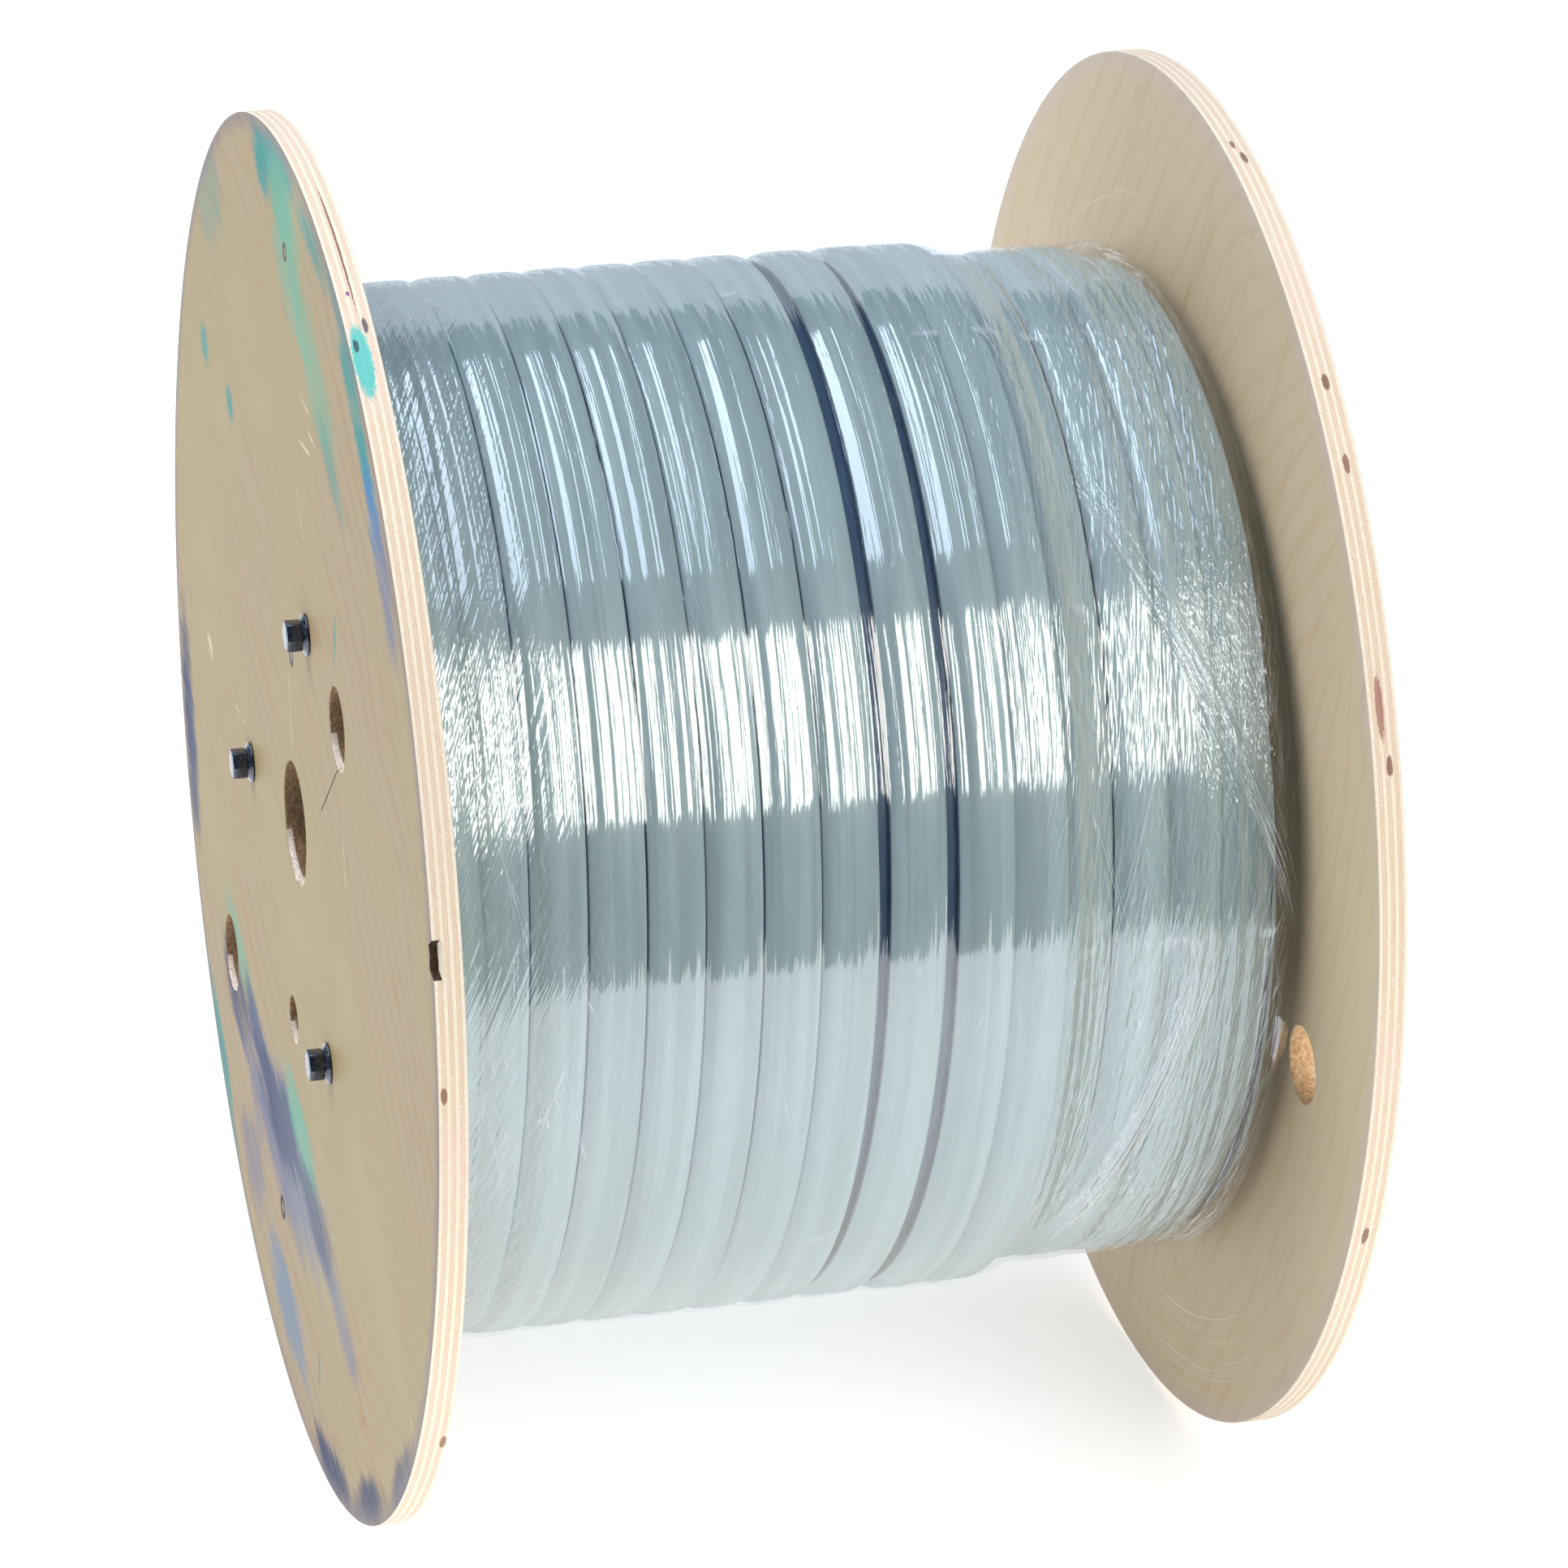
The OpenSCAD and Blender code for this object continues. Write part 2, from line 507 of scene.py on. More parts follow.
def cathedral(sheet, turn, centre, seed):
    """Flat-sawn growth lines, as nested flames along the grain."""
    place = sheet.framed(centre, turn, (0.5, 0.16, 0.030))
    bend = sheet.noise(sheet.framed(centre, turn, (0.3, 0.12, 0.06)), 1, 2, 0.5, seed)
    _, y, z = sheet.parts(place)
    flame = sheet.plus(sheet.math("ABSOLUTE", z), sheet.times(y, y, 0.9), sheet.times(bend, 1.3))
    rings = sheet.math("SINE", sheet.times(flame, 13))
    return sheet.spread(rings, 0.35, 1.0)


def spot(sheet, along, up, half_length, half_height, turn=0.0, soft=0.55):
    """1 inside an ellipse on a flange's face, easing to 0 at its edge."""
    centre = (0, along * MM, AXIS.z + up * MM)
    place = sheet.framed(centre, math.radians(turn), (1, half_length * MM, half_height * MM))
    _, y, z = sheet.parts(place)
    return sheet.spread(sheet.length(y, z), 1.0, soft)


def worn_veneer(settings):
    """The left flange's outer face: waxed birch, rubbed with old paint and scratched."""
    sheet = NodeSheet("worn_birch_veneer")
    turn = settings.grain_turn
    fine, streaks, clouds = wood_noise(sheet, turn, 0.0)
    flames = cathedral(sheet, turn, (0, 0.02, AXIS.z + 0.03), 0.6)
    colour = sheet.mix(
        sheet.spread(clouds, 0.38, 0.66), tuple(settings.worn_face), (0.41, 0.31, 0.19)
    )
    stripe = sheet.times(sheet.spread(streaks, 0.54, 0.75), sheet.spread(clouds, 0.42, 0.6), 0.6)
    colour = sheet.mix(stripe, colour, (0.44, 0.25, 0.09))
    colour = sheet.mix(sheet.times(flames, clouds, 0.36), colour, (0.34, 0.20, 0.09))
    pores = sheet.times(sheet.spread(fine, 0.45, 0.75), 0.22)
    colour = sheet.mix(pores, colour, (0.30, 0.20, 0.11))

    along_grain = sheet.framed((0, 0.3, 0), turn, (0.02, 0.032, 0.0024))
    smear = sheet.noise(along_grain, 1, 5, 0.65, 0.4)
    patch = sheet.noise(sheet.framed((0, 0.1, 0.2), turn, (0.02, 0.06, 0.017)), 1, 4, 0.6, 0.5)
    worn = sheet.plus(sheet.times(patch, 0.5), sheet.times(smear, 0.5))
    worn = sheet.spread(worn, 0.36, 0.64)
    for along, up, half_length, half_height, tilt, strength, paint in RUBBED_PAINT:
        mask = spot(sheet, along, up, half_length * 1.25, half_height * 1.6, tilt, 0.15)
        reach = sheet.plus(sheet.times(mask, 0.62), sheet.times(worn, 0.38))
        inside = sheet.spread(mask, 0.0, 0.25)
        cover = sheet.times(sheet.spread(reach, 0.34, 0.84), inside, strength)
        colour = sheet.mix(cover, colour, paint)
    for (y0, z0), (y1, z1) in PEN_STROKES:
        half = math.hypot(y1 - y0, z1 - z0) / 2
        lean = math.degrees(math.atan2(z1 - z0, y1 - y0))
        mask = spot(sheet, (y0 + y1) / 2, (z0 + z1) / 2, half, 1.6, lean, 0.4)
        colour = sheet.mix(sheet.times(mask, 0.85), colour, TEAL)
    for side in (-64, -71):
        mask = spot(sheet, side, 0, 56, 0.9, 91, 0.2)
        colour = sheet.mix(sheet.times(mask, 0.22), colour, VIOLET)
    dent = None
    for along, up, width in PIN_KNOTS:
        ring = spot(sheet, along, up, width / 2, width / 2, 0, 0.86)
        heart = spot(sheet, along - 0.3, up, width * 0.3, width * 0.3, 0, 0.5)
        colour = sheet.mix(ring, colour, (0.035, 0.025, 0.018))
        colour = sheet.mix(heart, colour, (0.30, 0.23, 0.17))
        dent = ring if dent is None else sheet.math("MAXIMUM", dent, ring)
    for along, up, half_length, half_height, tilt in SCRATCHES:
        mask = spot(sheet, along, up, half_length, half_height, tilt, 0.3)
        mask = sheet.times(mask, sheet.spread(smear, 0.42, 0.55))
        colour = sheet.mix(sheet.times(mask, 0.7), colour, (0.86, 0.74, 0.58))
    dirt = sheet.noise(sheet.framed((0, 0, 0), 1.1, (0.01, 0.03, 0.0008)), 1, 3, 0.7)
    scuff = sheet.spread(dirt, 0.68, 0.78)
    colour = sheet.mix(sheet.times(scuff, 0.25), colour, (0.85, 0.76, 0.62))
    _, y, z = sheet.parts(sheet.framed((0, 0, AXIS.z)))
    radius = sheet.length(y, z)
    ragged = sheet.plus(radius, sheet.times(patch, 6 * MM))
    handled = sheet.spread(ragged, FLANGE_RADIUS - 6 * MM, FLANGE_RADIUS + 2 * MM)
    colour = sheet.mix(sheet.times(handled, 0.6), colour, (0.21, 0.18, 0.20))
    height = sheet.plus(sheet.times(fine, 0.6), sheet.times(streaks, 0.2), sheet.times(dent, -2.0))
    shader = sheet.principled(
        Base_Color=colour,
        Roughness=sheet.spread(clouds, 0.3, 0.7, 0.46, 0.6),
        Specular_IOR_Level=0.2,
        Normal=sheet.bump(height, 0.12 * MM, 0.8),
    )
    return sheet.finish(shader)


def clean_veneer(settings):
    """The right flange and the inner faces: clean birch with scratches turned by the film."""
    sheet = NodeSheet("clean_birch_veneer")
    turn = -math.radians(62)
    fine, streaks, clouds = wood_noise(sheet, turn, 0.4)
    flames = cathedral(sheet, turn, (0, -0.12, AXIS.z - 0.05), 0.8)
    colour = sheet.mix(
        sheet.spread(clouds, 0.38, 0.66), tuple(settings.clean_face), (0.68, 0.53, 0.36)
    )
    colour = sheet.mix(sheet.times(flames, clouds, 0.28), colour, (0.50, 0.32, 0.15))
    stripe = sheet.times(sheet.spread(streaks, 0.5, 0.8), sheet.spread(clouds, 0.42, 0.6), 0.4)
    colour = sheet.mix(stripe, colour, (0.52, 0.34, 0.16))
    pores = sheet.times(sheet.spread(fine, 0.48, 0.8), 0.20)
    colour = sheet.mix(pores, colour, (0.38, 0.25, 0.13))
    _, y, z = sheet.parts(sheet.framed((0, 0, AXIS.z)))
    radius = sheet.length(y, z)
    angle = sheet.math("ARCTAN2", z, sheet.times(y, -1))
    rings = sheet.joined(sheet.times(radius, 1500), sheet.times(angle, 1.2), 0)
    drift = sheet.noise(rings, 1, 2, 0.5)
    lower = sheet.times(
        sheet.spread(angle, math.radians(-50), math.radians(-62)),
        sheet.spread(radius, 0.205, 0.212),
        sheet.spread(radius, 0.246, 0.24),
    )
    upper = sheet.times(
        sheet.spread(angle, math.radians(55), math.radians(75)),
        sheet.spread(radius, 0.190, 0.194),
        sheet.spread(radius, 0.206, 0.199),
    )
    turned = sheet.times(sheet.spread(drift, 0.6, 0.7), sheet.math("MAXIMUM", lower, upper))
    colour = sheet.mix(sheet.times(turned, 0.7), colour, (0.93, 0.86, 0.74))
    handled = sheet.spread(radius, FLANGE_RADIUS - 12 * MM, FLANGE_RADIUS)
    colour = sheet.mix(sheet.times(handled, clouds, 0.55), colour, (0.60, 0.52, 0.56))
    height = sheet.plus(
        sheet.times(fine, 0.6), sheet.times(streaks, 0.2), sheet.times(turned, -0.8)
    )
    shader = sheet.principled(
        Base_Color=colour,
        Roughness=sheet.spread(clouds, 0.3, 0.7, 0.46, 0.6),
        Specular_IOR_Level=0.2,
        Normal=sheet.bump(height, 0.12 * MM, 0.8),
    )
    return sheet.finish(shader)


# Marks on the rims: angle from the front, depth from the outer face in millimetres, half
# length, half width, and colour.
RIM_MARKS = {}
RIM_MARKS["left"] = [
    (71, 5.4, 38, 0.45, (0.20, 0.06, 0.03)),
    (58, 3.6, 17, 3.6, (0.03, 0.55, 0.50)),
    (59.5, 2.5, 3.2, 1.0, (0.05, 0.05, 0.07)),
    (61.5, 7.0, 4.0, 1.0, (0.06, 0.06, 0.09)),
    (65, 4.0, 1.2, 0.7, (0.20, 0.03, 0.25)),
    (0.5, 2.0, 3.4, 1.2, (0.24, 0.10, 0.04)),
    (-35.7, 8.5, 4.5, 1.2, (0.26, 0.13, 0.06)),
]
RIM_MARKS["right"] = [
    (73.5, 4.4, 4.0, 1.1, (0.20, 0.08, 0.05)),
    (75.5, 6.0, 3.0, 0.8, (0.22, 0.09, 0.05)),
    (49, 5.0, 3.6, 1.4, (0.20, 0.08, 0.04)),
    (42, 4.5, 4.0, 1.2, (0.24, 0.11, 0.06)),
    (23, 6.0, 12.0, 1.4, (0.38, 0.16, 0.12)),
    (18.5, 4.2, 4.0, 1.2, (0.22, 0.09, 0.05)),
    (-22, 5.0, 4.4, 1.3, (0.24, 0.12, 0.07)),
]


def ply_edge(name, settings, outer_x, inward, marks):
    """Sawn ply: pale long-grain veneers between darker, rougher end-grain ones."""
    sheet = NodeSheet(name)
    x, y, z = sheet.parts(sheet.framed((0, 0, AXIS.z)))
    depth = sheet.times(sheet.math("SUBTRACT", x, outer_x), inward)
    angle = sheet.math("ARCTAN2", z, sheet.times(y, -1))
    arc = sheet.times(angle, FLANGE_RADIUS)
    wander = sheet.noise(sheet.joined(sheet.times(arc, 12), 0, 0), 1, 2, 0.5)
    share = sheet.plus(sheet.times(depth, 1 / PLY_DEPTH), sheet.times(wander, 0.06), -0.03)
    pale, warm, glue = (0.92, 0.80, 0.63), (0.80, 0.60, 0.43), (0.62, 0.44, 0.30)
    stops = []
    for ply in range(settings.plies):
        start = ply / settings.plies
        end = (ply + 1) / settings.plies
        tone = pale if ply % 2 == 0 else warm
        stops += [(start + 0.012, tone), (end - 0.014, tone), (end - 0.002, glue)]
    colour = sheet.ramp(share, stops)

    def fibres(per_arc, per_depth, seed, roughness):
        place = sheet.joined(sheet.times(arc, per_arc), sheet.times(depth, per_depth), seed)
        return sheet.noise(place, 1, 3, roughness)

    long_grain = fibres(60, 3500, 0, 0.6)
    end_grain = fibres(1600, 500, 0, 0.7)
    pores = fibres(420, 1300, 3, 0.7)
    band = sheet.math("SINE", sheet.times(share, math.pi * settings.plies))
    clouds = sheet.noise(sheet.joined(sheet.times(arc, 9), 0, 7), 1, 2, 0.5)
    for pattern, low, high, strength, tone in [
        (long_grain, 0.4, 0.75, 0.45, (0.90, 0.80, 0.66)),
        (end_grain, 0.45, 0.7, 0.3, (0.60, 0.40, 0.25)),
        (pores, 0.56, 0.7, 0.55, (0.97, 0.89, 0.78)),
        (clouds, 0.45, 0.65, 0.35, (0.86, 0.66, 0.56)),
    ]:
        cover = sheet.times(sheet.spread(pattern, low, high), strength)
        colour = sheet.mix(cover, colour, tone)
    for degrees, mark_depth, half_length, half_width, tone in marks:
        start = math.radians(degrees) * FLANGE_RADIUS
        along = sheet.times(sheet.plus(arc, -start), 1 / (half_length * MM))
        aside = sheet.times(sheet.plus(depth, -mark_depth * MM), 1 / (half_width * MM))
        reach = sheet.length(along, aside)
        reach = sheet.plus(reach, sheet.times(pores, 0.9), -0.45)
        colour = sheet.mix(sheet.times(sheet.spread(reach, 1.05, 0.75), 0.85), colour, tone)
    height = sheet.plus(end_grain, sheet.times(long_grain, 0.5), sheet.times(band, 0.1), pores)
    shader = sheet.principled(
        Base_Color=colour, Roughness=0.82, Normal=sheet.bump(height, 0.25 * MM, 0.9)
    )
    return sheet.finish(shader)


def bored_wood(name, tones):
    """The rough brown wall of a drilled hole; a fresh one is still orange and cream."""
    sheet = NodeSheet(name)
    rough = sheet.noise(sheet.framed((0, 0, 0), 0.3, (0.0012, 0.0016, 0.0016)), 1, 4, 0.7, 0.6)
    plies = sheet.noise(sheet.framed((0, 0, 0), 0, (0.0011, 0.02, 0.02)), 1, 2, 0.5)
    colour = sheet.ramp(rough, list(zip((0.3, 0.52, 0.72), tones)))
    colour = sheet.mix(sheet.times(plies, 0.4), colour, tones[1])
    shader = sheet.principled(
        Base_Color=colour, Roughness=0.9, Normal=sheet.bump(rough, 0.5 * MM, 0.9)
    )
    return sheet.finish(shader)


def torn_wood(settings):
    """Pale fibres where the drill tore the face."""
    sheet = NodeSheet("torn_wood")
    torn_along = sheet.framed((0, 0, 0), settings.grain_turn + 1.2, (0.0008, 0.0006, 0.004))
    fibres = sheet.noise(torn_along, 1, 4, 0.7, 0.5)
    colour = sheet.ramp(
        fibres, [(0.3, (0.42, 0.27, 0.18)), (0.48, (0.84, 0.68, 0.55)), (0.7, (0.97, 0.88, 0.80))]
    )
    shader = sheet.principled(
        Base_Color=colour, Roughness=0.9, Normal=sheet.bump(fibres, 0.6 * MM, 0.9)
    )
    return sheet.finish(shader)


def knot_hole_painted_shade():
    """The inside of the knot hole that the saw opened in the rim: dark knot wood, painted nearly
    black with the hole's shade.
    """
    sheet = NodeSheet("knot_hole_painted_shade")
    rough = sheet.noise(sheet.framed((0, 0, 0), 0, (0.001, 0.0015, 0.0012)), 1, 3, 0.7)
    # Painted shade: near-black tones stand in for the shade inside the hole.
    colour = sheet.ramp(rough, [(0.35, (0.01, 0.006, 0.004)), (0.75, (0.10, 0.05, 0.025))])
    shader = sheet.principled(
        Base_Color=colour, Roughness=0.85, Normal=sheet.bump(rough, 0.4 * MM, 0.9)
    )
    return sheet.finish(shader)


WALL, HOLE, TORN, KNOT, OUTSIDE, INSIDE = 0, 1, 2, 3, 4, 5

# The drill tore the face this deep. The bolts' holes, below the limit, are clean.
TEAR_DEPTH = 1.9 * MM
BOLT_HOLE_LIMIT = 5 * MM
CABLE_HOLE_RADIUS = 13.5 * MM

# Walls of the drilled holes, from their pits to their lightest fibres.
BORED_TONES = {
    "left": [(0.12, 0.065, 0.03), (0.34, 0.20, 0.10), (0.62, 0.43, 0.26)],
    "right": [(0.40, 0.20, 0.08), (0.85, 0.55, 0.28), (0.98, 0.86, 0.66)],
}


def flange_holes(side):
    """The holes through one flange: name, middle, and radius."""
    found = []
    for name in (f"start_hole_{side}", f"end_hole_{side}", f"drive_hole_{side}", "spindle_bore"):
        mount = MOUNTS[name]
        place = Vector(mount["pos_m"])
        found.append((Vector((0, place.y, place.z)), mount["dims"]["r_mm"] * MM))
    for number in (1, 2, 3):
        low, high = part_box(f"tie_bolt_{number}")
        middle = Vector((0, (low[1] + high[1]) / 2, (low[2] + high[2]) / 2))
        found.append((middle, 3.1 * MM))
    return found


def build_flange(side, settings):
    """One flange: sawn round, drilled, its edges eased and its end grain left rough."""
    low, high = (LEFT_LOW, LEFT_HIGH) if side == "left" else (RIGHT_LOW, RIGHT_HIGH)
    outer_x, inward = (low.x, 1) if side == "left" else (high.x, -1)
    holes = flange_holes(side)
    bm = bmesh.new()
    edges = set()
    for middle, radius, segments in [(AXIS, FLANGE_RADIUS, settings.rim_segments)] + [
        (middle, radius, 96 if radius > BOLT_HOLE_LIMIT else 32) for middle, radius in holes
    ]:
        spot_here = Matrix.Translation((outer_x, middle.y, middle.z)) @ Matrix.Rotation(
            math.radians(90), 4, "Y"
        )
        made = bmesh.ops.create_circle(
            bm, cap_ends=False, radius=radius, segments=segments, matrix=spot_here
        )
        edges |= {edge for vert in made["verts"] for edge in vert.link_edges}
    bmesh.ops.triangle_fill(
        bm, use_beauty=True, use_dissolve=False, edges=list(edges), normal=(-inward, 0, 0)
    )
    pushed = bmesh.ops.extrude_face_region(bm, geom=bm.faces[:])
    verts = [item for item in pushed["geom"] if isinstance(item, bmesh.types.BMVert)]
    bmesh.ops.translate(bm, verts=verts, vec=(PLY_DEPTH * inward, 0, 0))
    bmesh.ops.recalc_face_normals(bm, faces=bm.faces[:])
    corners = [
        edge
        for edge in bm.edges
        if edge.is_manifold and edge.calc_face_angle(0) > math.radians(60)
    ]
    bmesh.ops.bevel(
        bm,
        geom=corners,
        offset=settings.edge_round,
        offset_type="OFFSET",
        affect="EDGES",
        segments=2,
        profile=0.5,
        material=-1,
        clamp_overlap=True,
    )
    for cut in range(1, 2 * settings.plies):
        bmesh.ops.bisect_plane(
            bm,
            geom=bm.verts[:] + bm.edges[:] + bm.faces[:],
            dist=WELD,
            plane_co=(outer_x + inward * PLY_DEPTH * cut / (2 * settings.plies), 0, 0),
            plane_no=(1, 0, 0),
        )
    bm.normal_update()
    ply = PLY_DEPTH / settings.plies
    for face in bm.faces:
        middle = face.calc_center_median()
        depth = abs(middle.x - outer_x)
        if abs(face.normal.x) > 0.9:
            face.material_index = OUTSIDE if depth < PLY_DEPTH / 2 else INSIDE
        elif axle_radius(middle) > FLANGE_RADIUS - 2 * MM:
            face.material_index = WALL
        else:
            face.material_index = HOLE
    for vert in bm.verts:
        depth = abs(vert.co.x - outer_x)
        fine = noise.noise(vert.co * 2300 + Vector((9, 0, 0)))
        rough = noise.noise(vert.co * 900) * 0.5 + fine * 0.5
        if axle_radius(vert.co) > FLANGE_RADIUS - 1.5 * MM:
            seam = abs((depth / ply + 0.5) % 1 - 0.5)
            groove = 0.5 if seam < 0.1 else 0.0
            move_out(vert, -settings.fuzz * (0.5 + 0.5 * rough + groove))
            if side == "left" and depth < KNOT_DEPTH:
                aside = abs(front_angle(vert.co) - KNOT_ANGLE)
                move_out(vert, -6 * MM * (1 - smooth(aside, 1.0, 1.5)) * (0.85 + 0.3 * rough))
            continue
        for middle, radius in holes:
            away = Vector((0, vert.co.y - middle.y, vert.co.z - middle.z))
            if radius < BOLT_HOLE_LIMIT or away.length > radius + 1.5 * MM:
                continue
            away.normalize()
            down = smooth(-away.z, 0.35, 0.85)
            ragged = 0.55 + 0.45 * noise.noise(vert.co * 700 + Vector((0, 5, 0)))
            shallow = 1 - smooth(depth, 0.1 * MM, TEAR_DEPTH)
            torn = settings.tear * min(radius / CABLE_HOLE_RADIUS, 1.2) * down * ragged * shallow
            vert.co += away * (torn + settings.fuzz * (0.6 + 1.4 * rough) * 0.8)
    for face in bm.faces:
        middle = face.calc_center_median()
        depth = abs(middle.x - outer_x)
        if face.material_index == HOLE and depth < TEAR_DEPTH:
            for hole, radius in holes:
                away = Vector((0, middle.y - hole.y, middle.z - hole.z))
                near = radius > BOLT_HOLE_LIMIT and away.length < radius + 6 * MM
                if near and -away.normalized().z > 0.5:
                    face.material_index = TORN
        # The knot hole's wall takes the near-black knot material, which paints in the hole's
        # shade.
        if side == "left" and depth < KNOT_DEPTH + 0.3 * MM and face.material_index == WALL:
            if abs(front_angle(middle) - KNOT_ANGLE) < 1.45:
                face.material_index = KNOT
    materials = [
        ply_edge(f"ply_edge_{side}", settings, outer_x, inward, RIM_MARKS[side]),
        bored_wood(f"bored_wood_{side}", BORED_TONES[side]),
        torn_wood(settings),
        knot_hole_painted_shade(),
        worn_veneer(settings) if side == "left" else clean_veneer(settings),
        clean_veneer(settings),
    ]
    return finished(
        f"plywood_flange_{side}", bm, materials, [f"flange_{side}"], math.radians(18)
    )


# ---------------------------------------------------------------- barrel and bolts


def kraft_tube():
    """Spiral-wound kraft board."""
    sheet = NodeSheet("kraft_tube")
    x, y, z = sheet.parts(sheet.framed((0, 0, AXIS.z)))
    angle = sheet.math("ARCTAN2", z, y)
    lap = sheet.math("FRACT", sheet.plus(sheet.times(x, 9), sheet.times(angle, 1 / (2 * math.pi))))
    seam = sheet.spread(lap, 0.03, 0.0)
    fibres = sheet.noise(sheet.framed((0, 0, 0), 0, (0.006, 0.002, 0.002)), 1, 4, 0.65)
    colour = sheet.mix(sheet.spread(fibres, 0.35, 0.7), (0.30, 0.185, 0.10), (0.44, 0.29, 0.17))
    colour = sheet.mix(sheet.times(seam, 0.6), colour, (0.16, 0.09, 0.045))
    height = sheet.plus(sheet.times(fibres, 0.3), sheet.times(seam, -1))
    shader = sheet.principled(
        Base_Color=colour, Roughness=0.85, Normal=sheet.bump(height, 0.3 * MM, 0.8)
    )
    return sheet.finish(shader)


def black_oxide(settings):
    """Oiled black oxide on forged steel, with a blue cast."""
    sheet = NodeSheet("black_oxide")
    grain = sheet.noise(sheet.framed((0, 0, 0), 0, (0.0012, 0.0012, 0.0012)), 1, 4, 0.6)
    dust = sheet.noise(sheet.framed((0, 0, 0), 0, (0.004, 0.004, 0.004)), 1, 3, 0.7)
    colour = sheet.mix(sheet.spread(grain, 0.4, 0.7), tuple(settings.colour), (0.035, 0.055, 0.10))
    dusty = sheet.times(sheet.spread(dust, 0.58, 0.75), 0.35)
    colour = sheet.mix(dusty, colour, (0.22, 0.25, 0.30))
    shader = sheet.principled(
        Base_Color=colour,
        Metallic=0.55,
        Coat_Weight=0.8,
        Coat_Roughness=0.12,
        Roughness=sheet.spread(grain, 0.3, 0.7, 0.22, 0.38),
        Normal=sheet.bump(grain, 0.08 * MM, 0.7),
    )
    return sheet.finish(shader)


def lathe(bm, middle, outline, segments):
    """Spins an outline of (x, radius) points round a line along X and closes its ends."""
    verts = [bm.verts.new((x, middle.y, middle.z + radius)) for x, radius in outline]
    edges = [bm.edges.new(pair) for pair in zip(verts, verts[1:])]
    bmesh.ops.spin(
        bm,
        geom=verts + edges,
        cent=middle,
        axis=(1, 0, 0),
        dvec=(0, 0, 0),
        angle=2 * math.pi,
        steps=segments,
        use_merge=True,
        use_duplicate=False,
    )


def hexagon_prism(bm, middle, near, far, flats, bevel_round):
    """A hexagon bar along X with its corners turned down and its edges eased."""
    spot_here = Matrix.Translation(((near + far) / 2, middle.y, middle.z)) @ Matrix.Rotation(
        math.radians(90), 4, "Y"
    )
    corner = flats / math.sqrt(3)
    made = bmesh.ops.create_cone(
        bm,
        cap_ends=True,
        cap_tris=False,
        segments=6,
        radius1=corner,
        radius2=corner,
        depth=abs(far - near),
        matrix=spot_here,
    )
    edges = list({edge for vert in made["verts"] for edge in vert.link_edges})
    bmesh.ops.bevel(
        bm,
        geom=edges,
        offset=bevel_round,
        offset_type="OFFSET",
        affect="EDGES",
        segments=3,
        profile=0.5,
        material=-1,
        clamp_overlap=True,
    )


def build_bolt(number, settings):
    """A flanged hex bolt that ties the flanges, with its shank."""
    low, high = (Vector(corner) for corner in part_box(f"tie_bolt_{number}"))
    middle = Vector((0, (low.y + high.y) / 2, (low.z + high.z) / 2))
    skirt_radius = (high.z - low.z) / 2
    face = LEFT_LOW.x
    shank = 3 * MM
    bm = bmesh.new()
    skirt = [
        (face, 0.2 * MM),
        (face, skirt_radius - 0.3 * MM),
        (face - 0.5 * MM, skirt_radius),
        (face - 0.9 * MM, skirt_radius - 0.1 * MM),
        (face - 1.7 * MM, skirt_radius - 1.6 * MM),
        (face - 2.2 * MM, 5.2 * MM),
        (face - 2.2 * MM, 0.2 * MM),
        (face, 0.2 * MM),
    ]
    lathe(bm, middle, skirt, 48)
    hexagon_prism(bm, middle, face - 2.0 * MM, low.x, 10 * MM, settings.edge_round * 1.6)
    rod = [
        (face, 0.2 * MM),
        (face, shank),
        (high.x - 0.8 * MM, shank),
        (high.x, shank - 0.7 * MM),
        (high.x, 0.2 * MM),
        (face, 0.2 * MM),
    ]
    lathe(bm, middle, rod, 32)
    bmesh.ops.remove_doubles(bm, verts=bm.verts[:], dist=WELD)
    bmesh.ops.recalc_face_normals(bm, faces=bm.faces[:])
    return bm


def build_nut(number, settings):
    """A flanged hex nut on the bolt's tail."""
    low, high = (Vector(corner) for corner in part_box(f"nut_{number}"))
    middle = Vector((0, (low.y + high.y) / 2, (low.z + high.z) / 2))
    skirt_radius = (high.z - low.z) / 2
    face = RIGHT_HIGH.x
    bore = 3.05 * MM
    bm = bmesh.new()
    outline = [
        (face, bore),
        (face, skirt_radius - 0.3 * MM),
        (face + 0.5 * MM, skirt_radius),
        (face + 0.9 * MM, skirt_radius - 0.1 * MM),
        (face + 1.7 * MM, skirt_radius - 1.6 * MM),
        (face + 2.2 * MM, 5.3 * MM),
        (high.x - 0.2 * MM, 4.9 * MM),
        (high.x, 4.5 * MM),
        (high.x - 0.3 * MM, bore + 0.3 * MM),
        (high.x - 0.8 * MM, bore),
        (face, bore),
    ]
    lathe(bm, middle, outline, 48)
    rounding = settings.edge_round * 1.6
    hexagon_prism(bm, middle, face + 1.8 * MM, high.x - 0.15 * MM, 10 * MM, rounding)
    bmesh.ops.remove_doubles(bm, verts=bm.verts[:], dist=WELD)
    bmesh.ops.recalc_face_normals(bm, faces=bm.faces[:])
    return bm


# ---------------------------------------------------------------- cable


def slack(turn):
    """How far the turns have strayed from an even pitch: the middle ones lie loose."""
    loose = -3.2 * smooth(turn, 0, 1) + 7.4 * smooth(turn, 7, 9) - 4.2 * smooth(turn, 9.5, 11)
    return (loose - 2.4 * smooth(turn, 12, 14)) * MM


def lean(turn):
    """The turns cross over at the front and run level at the back."""
    return 3.0 * MM * math.sin(2 * math.pi * turn)


def left_edge(turn, pitch):
    """Where the cable's left edge lies at a count of turns."""
    edge = LEFT_HIGH.x + pitch * turn + slack(turn) + lean(turn)
    last = RIGHT_LOW.x - pitch - 1.2 * MM
    return min(max(edge, LEFT_HIGH.x + 0.15 * MM), last)


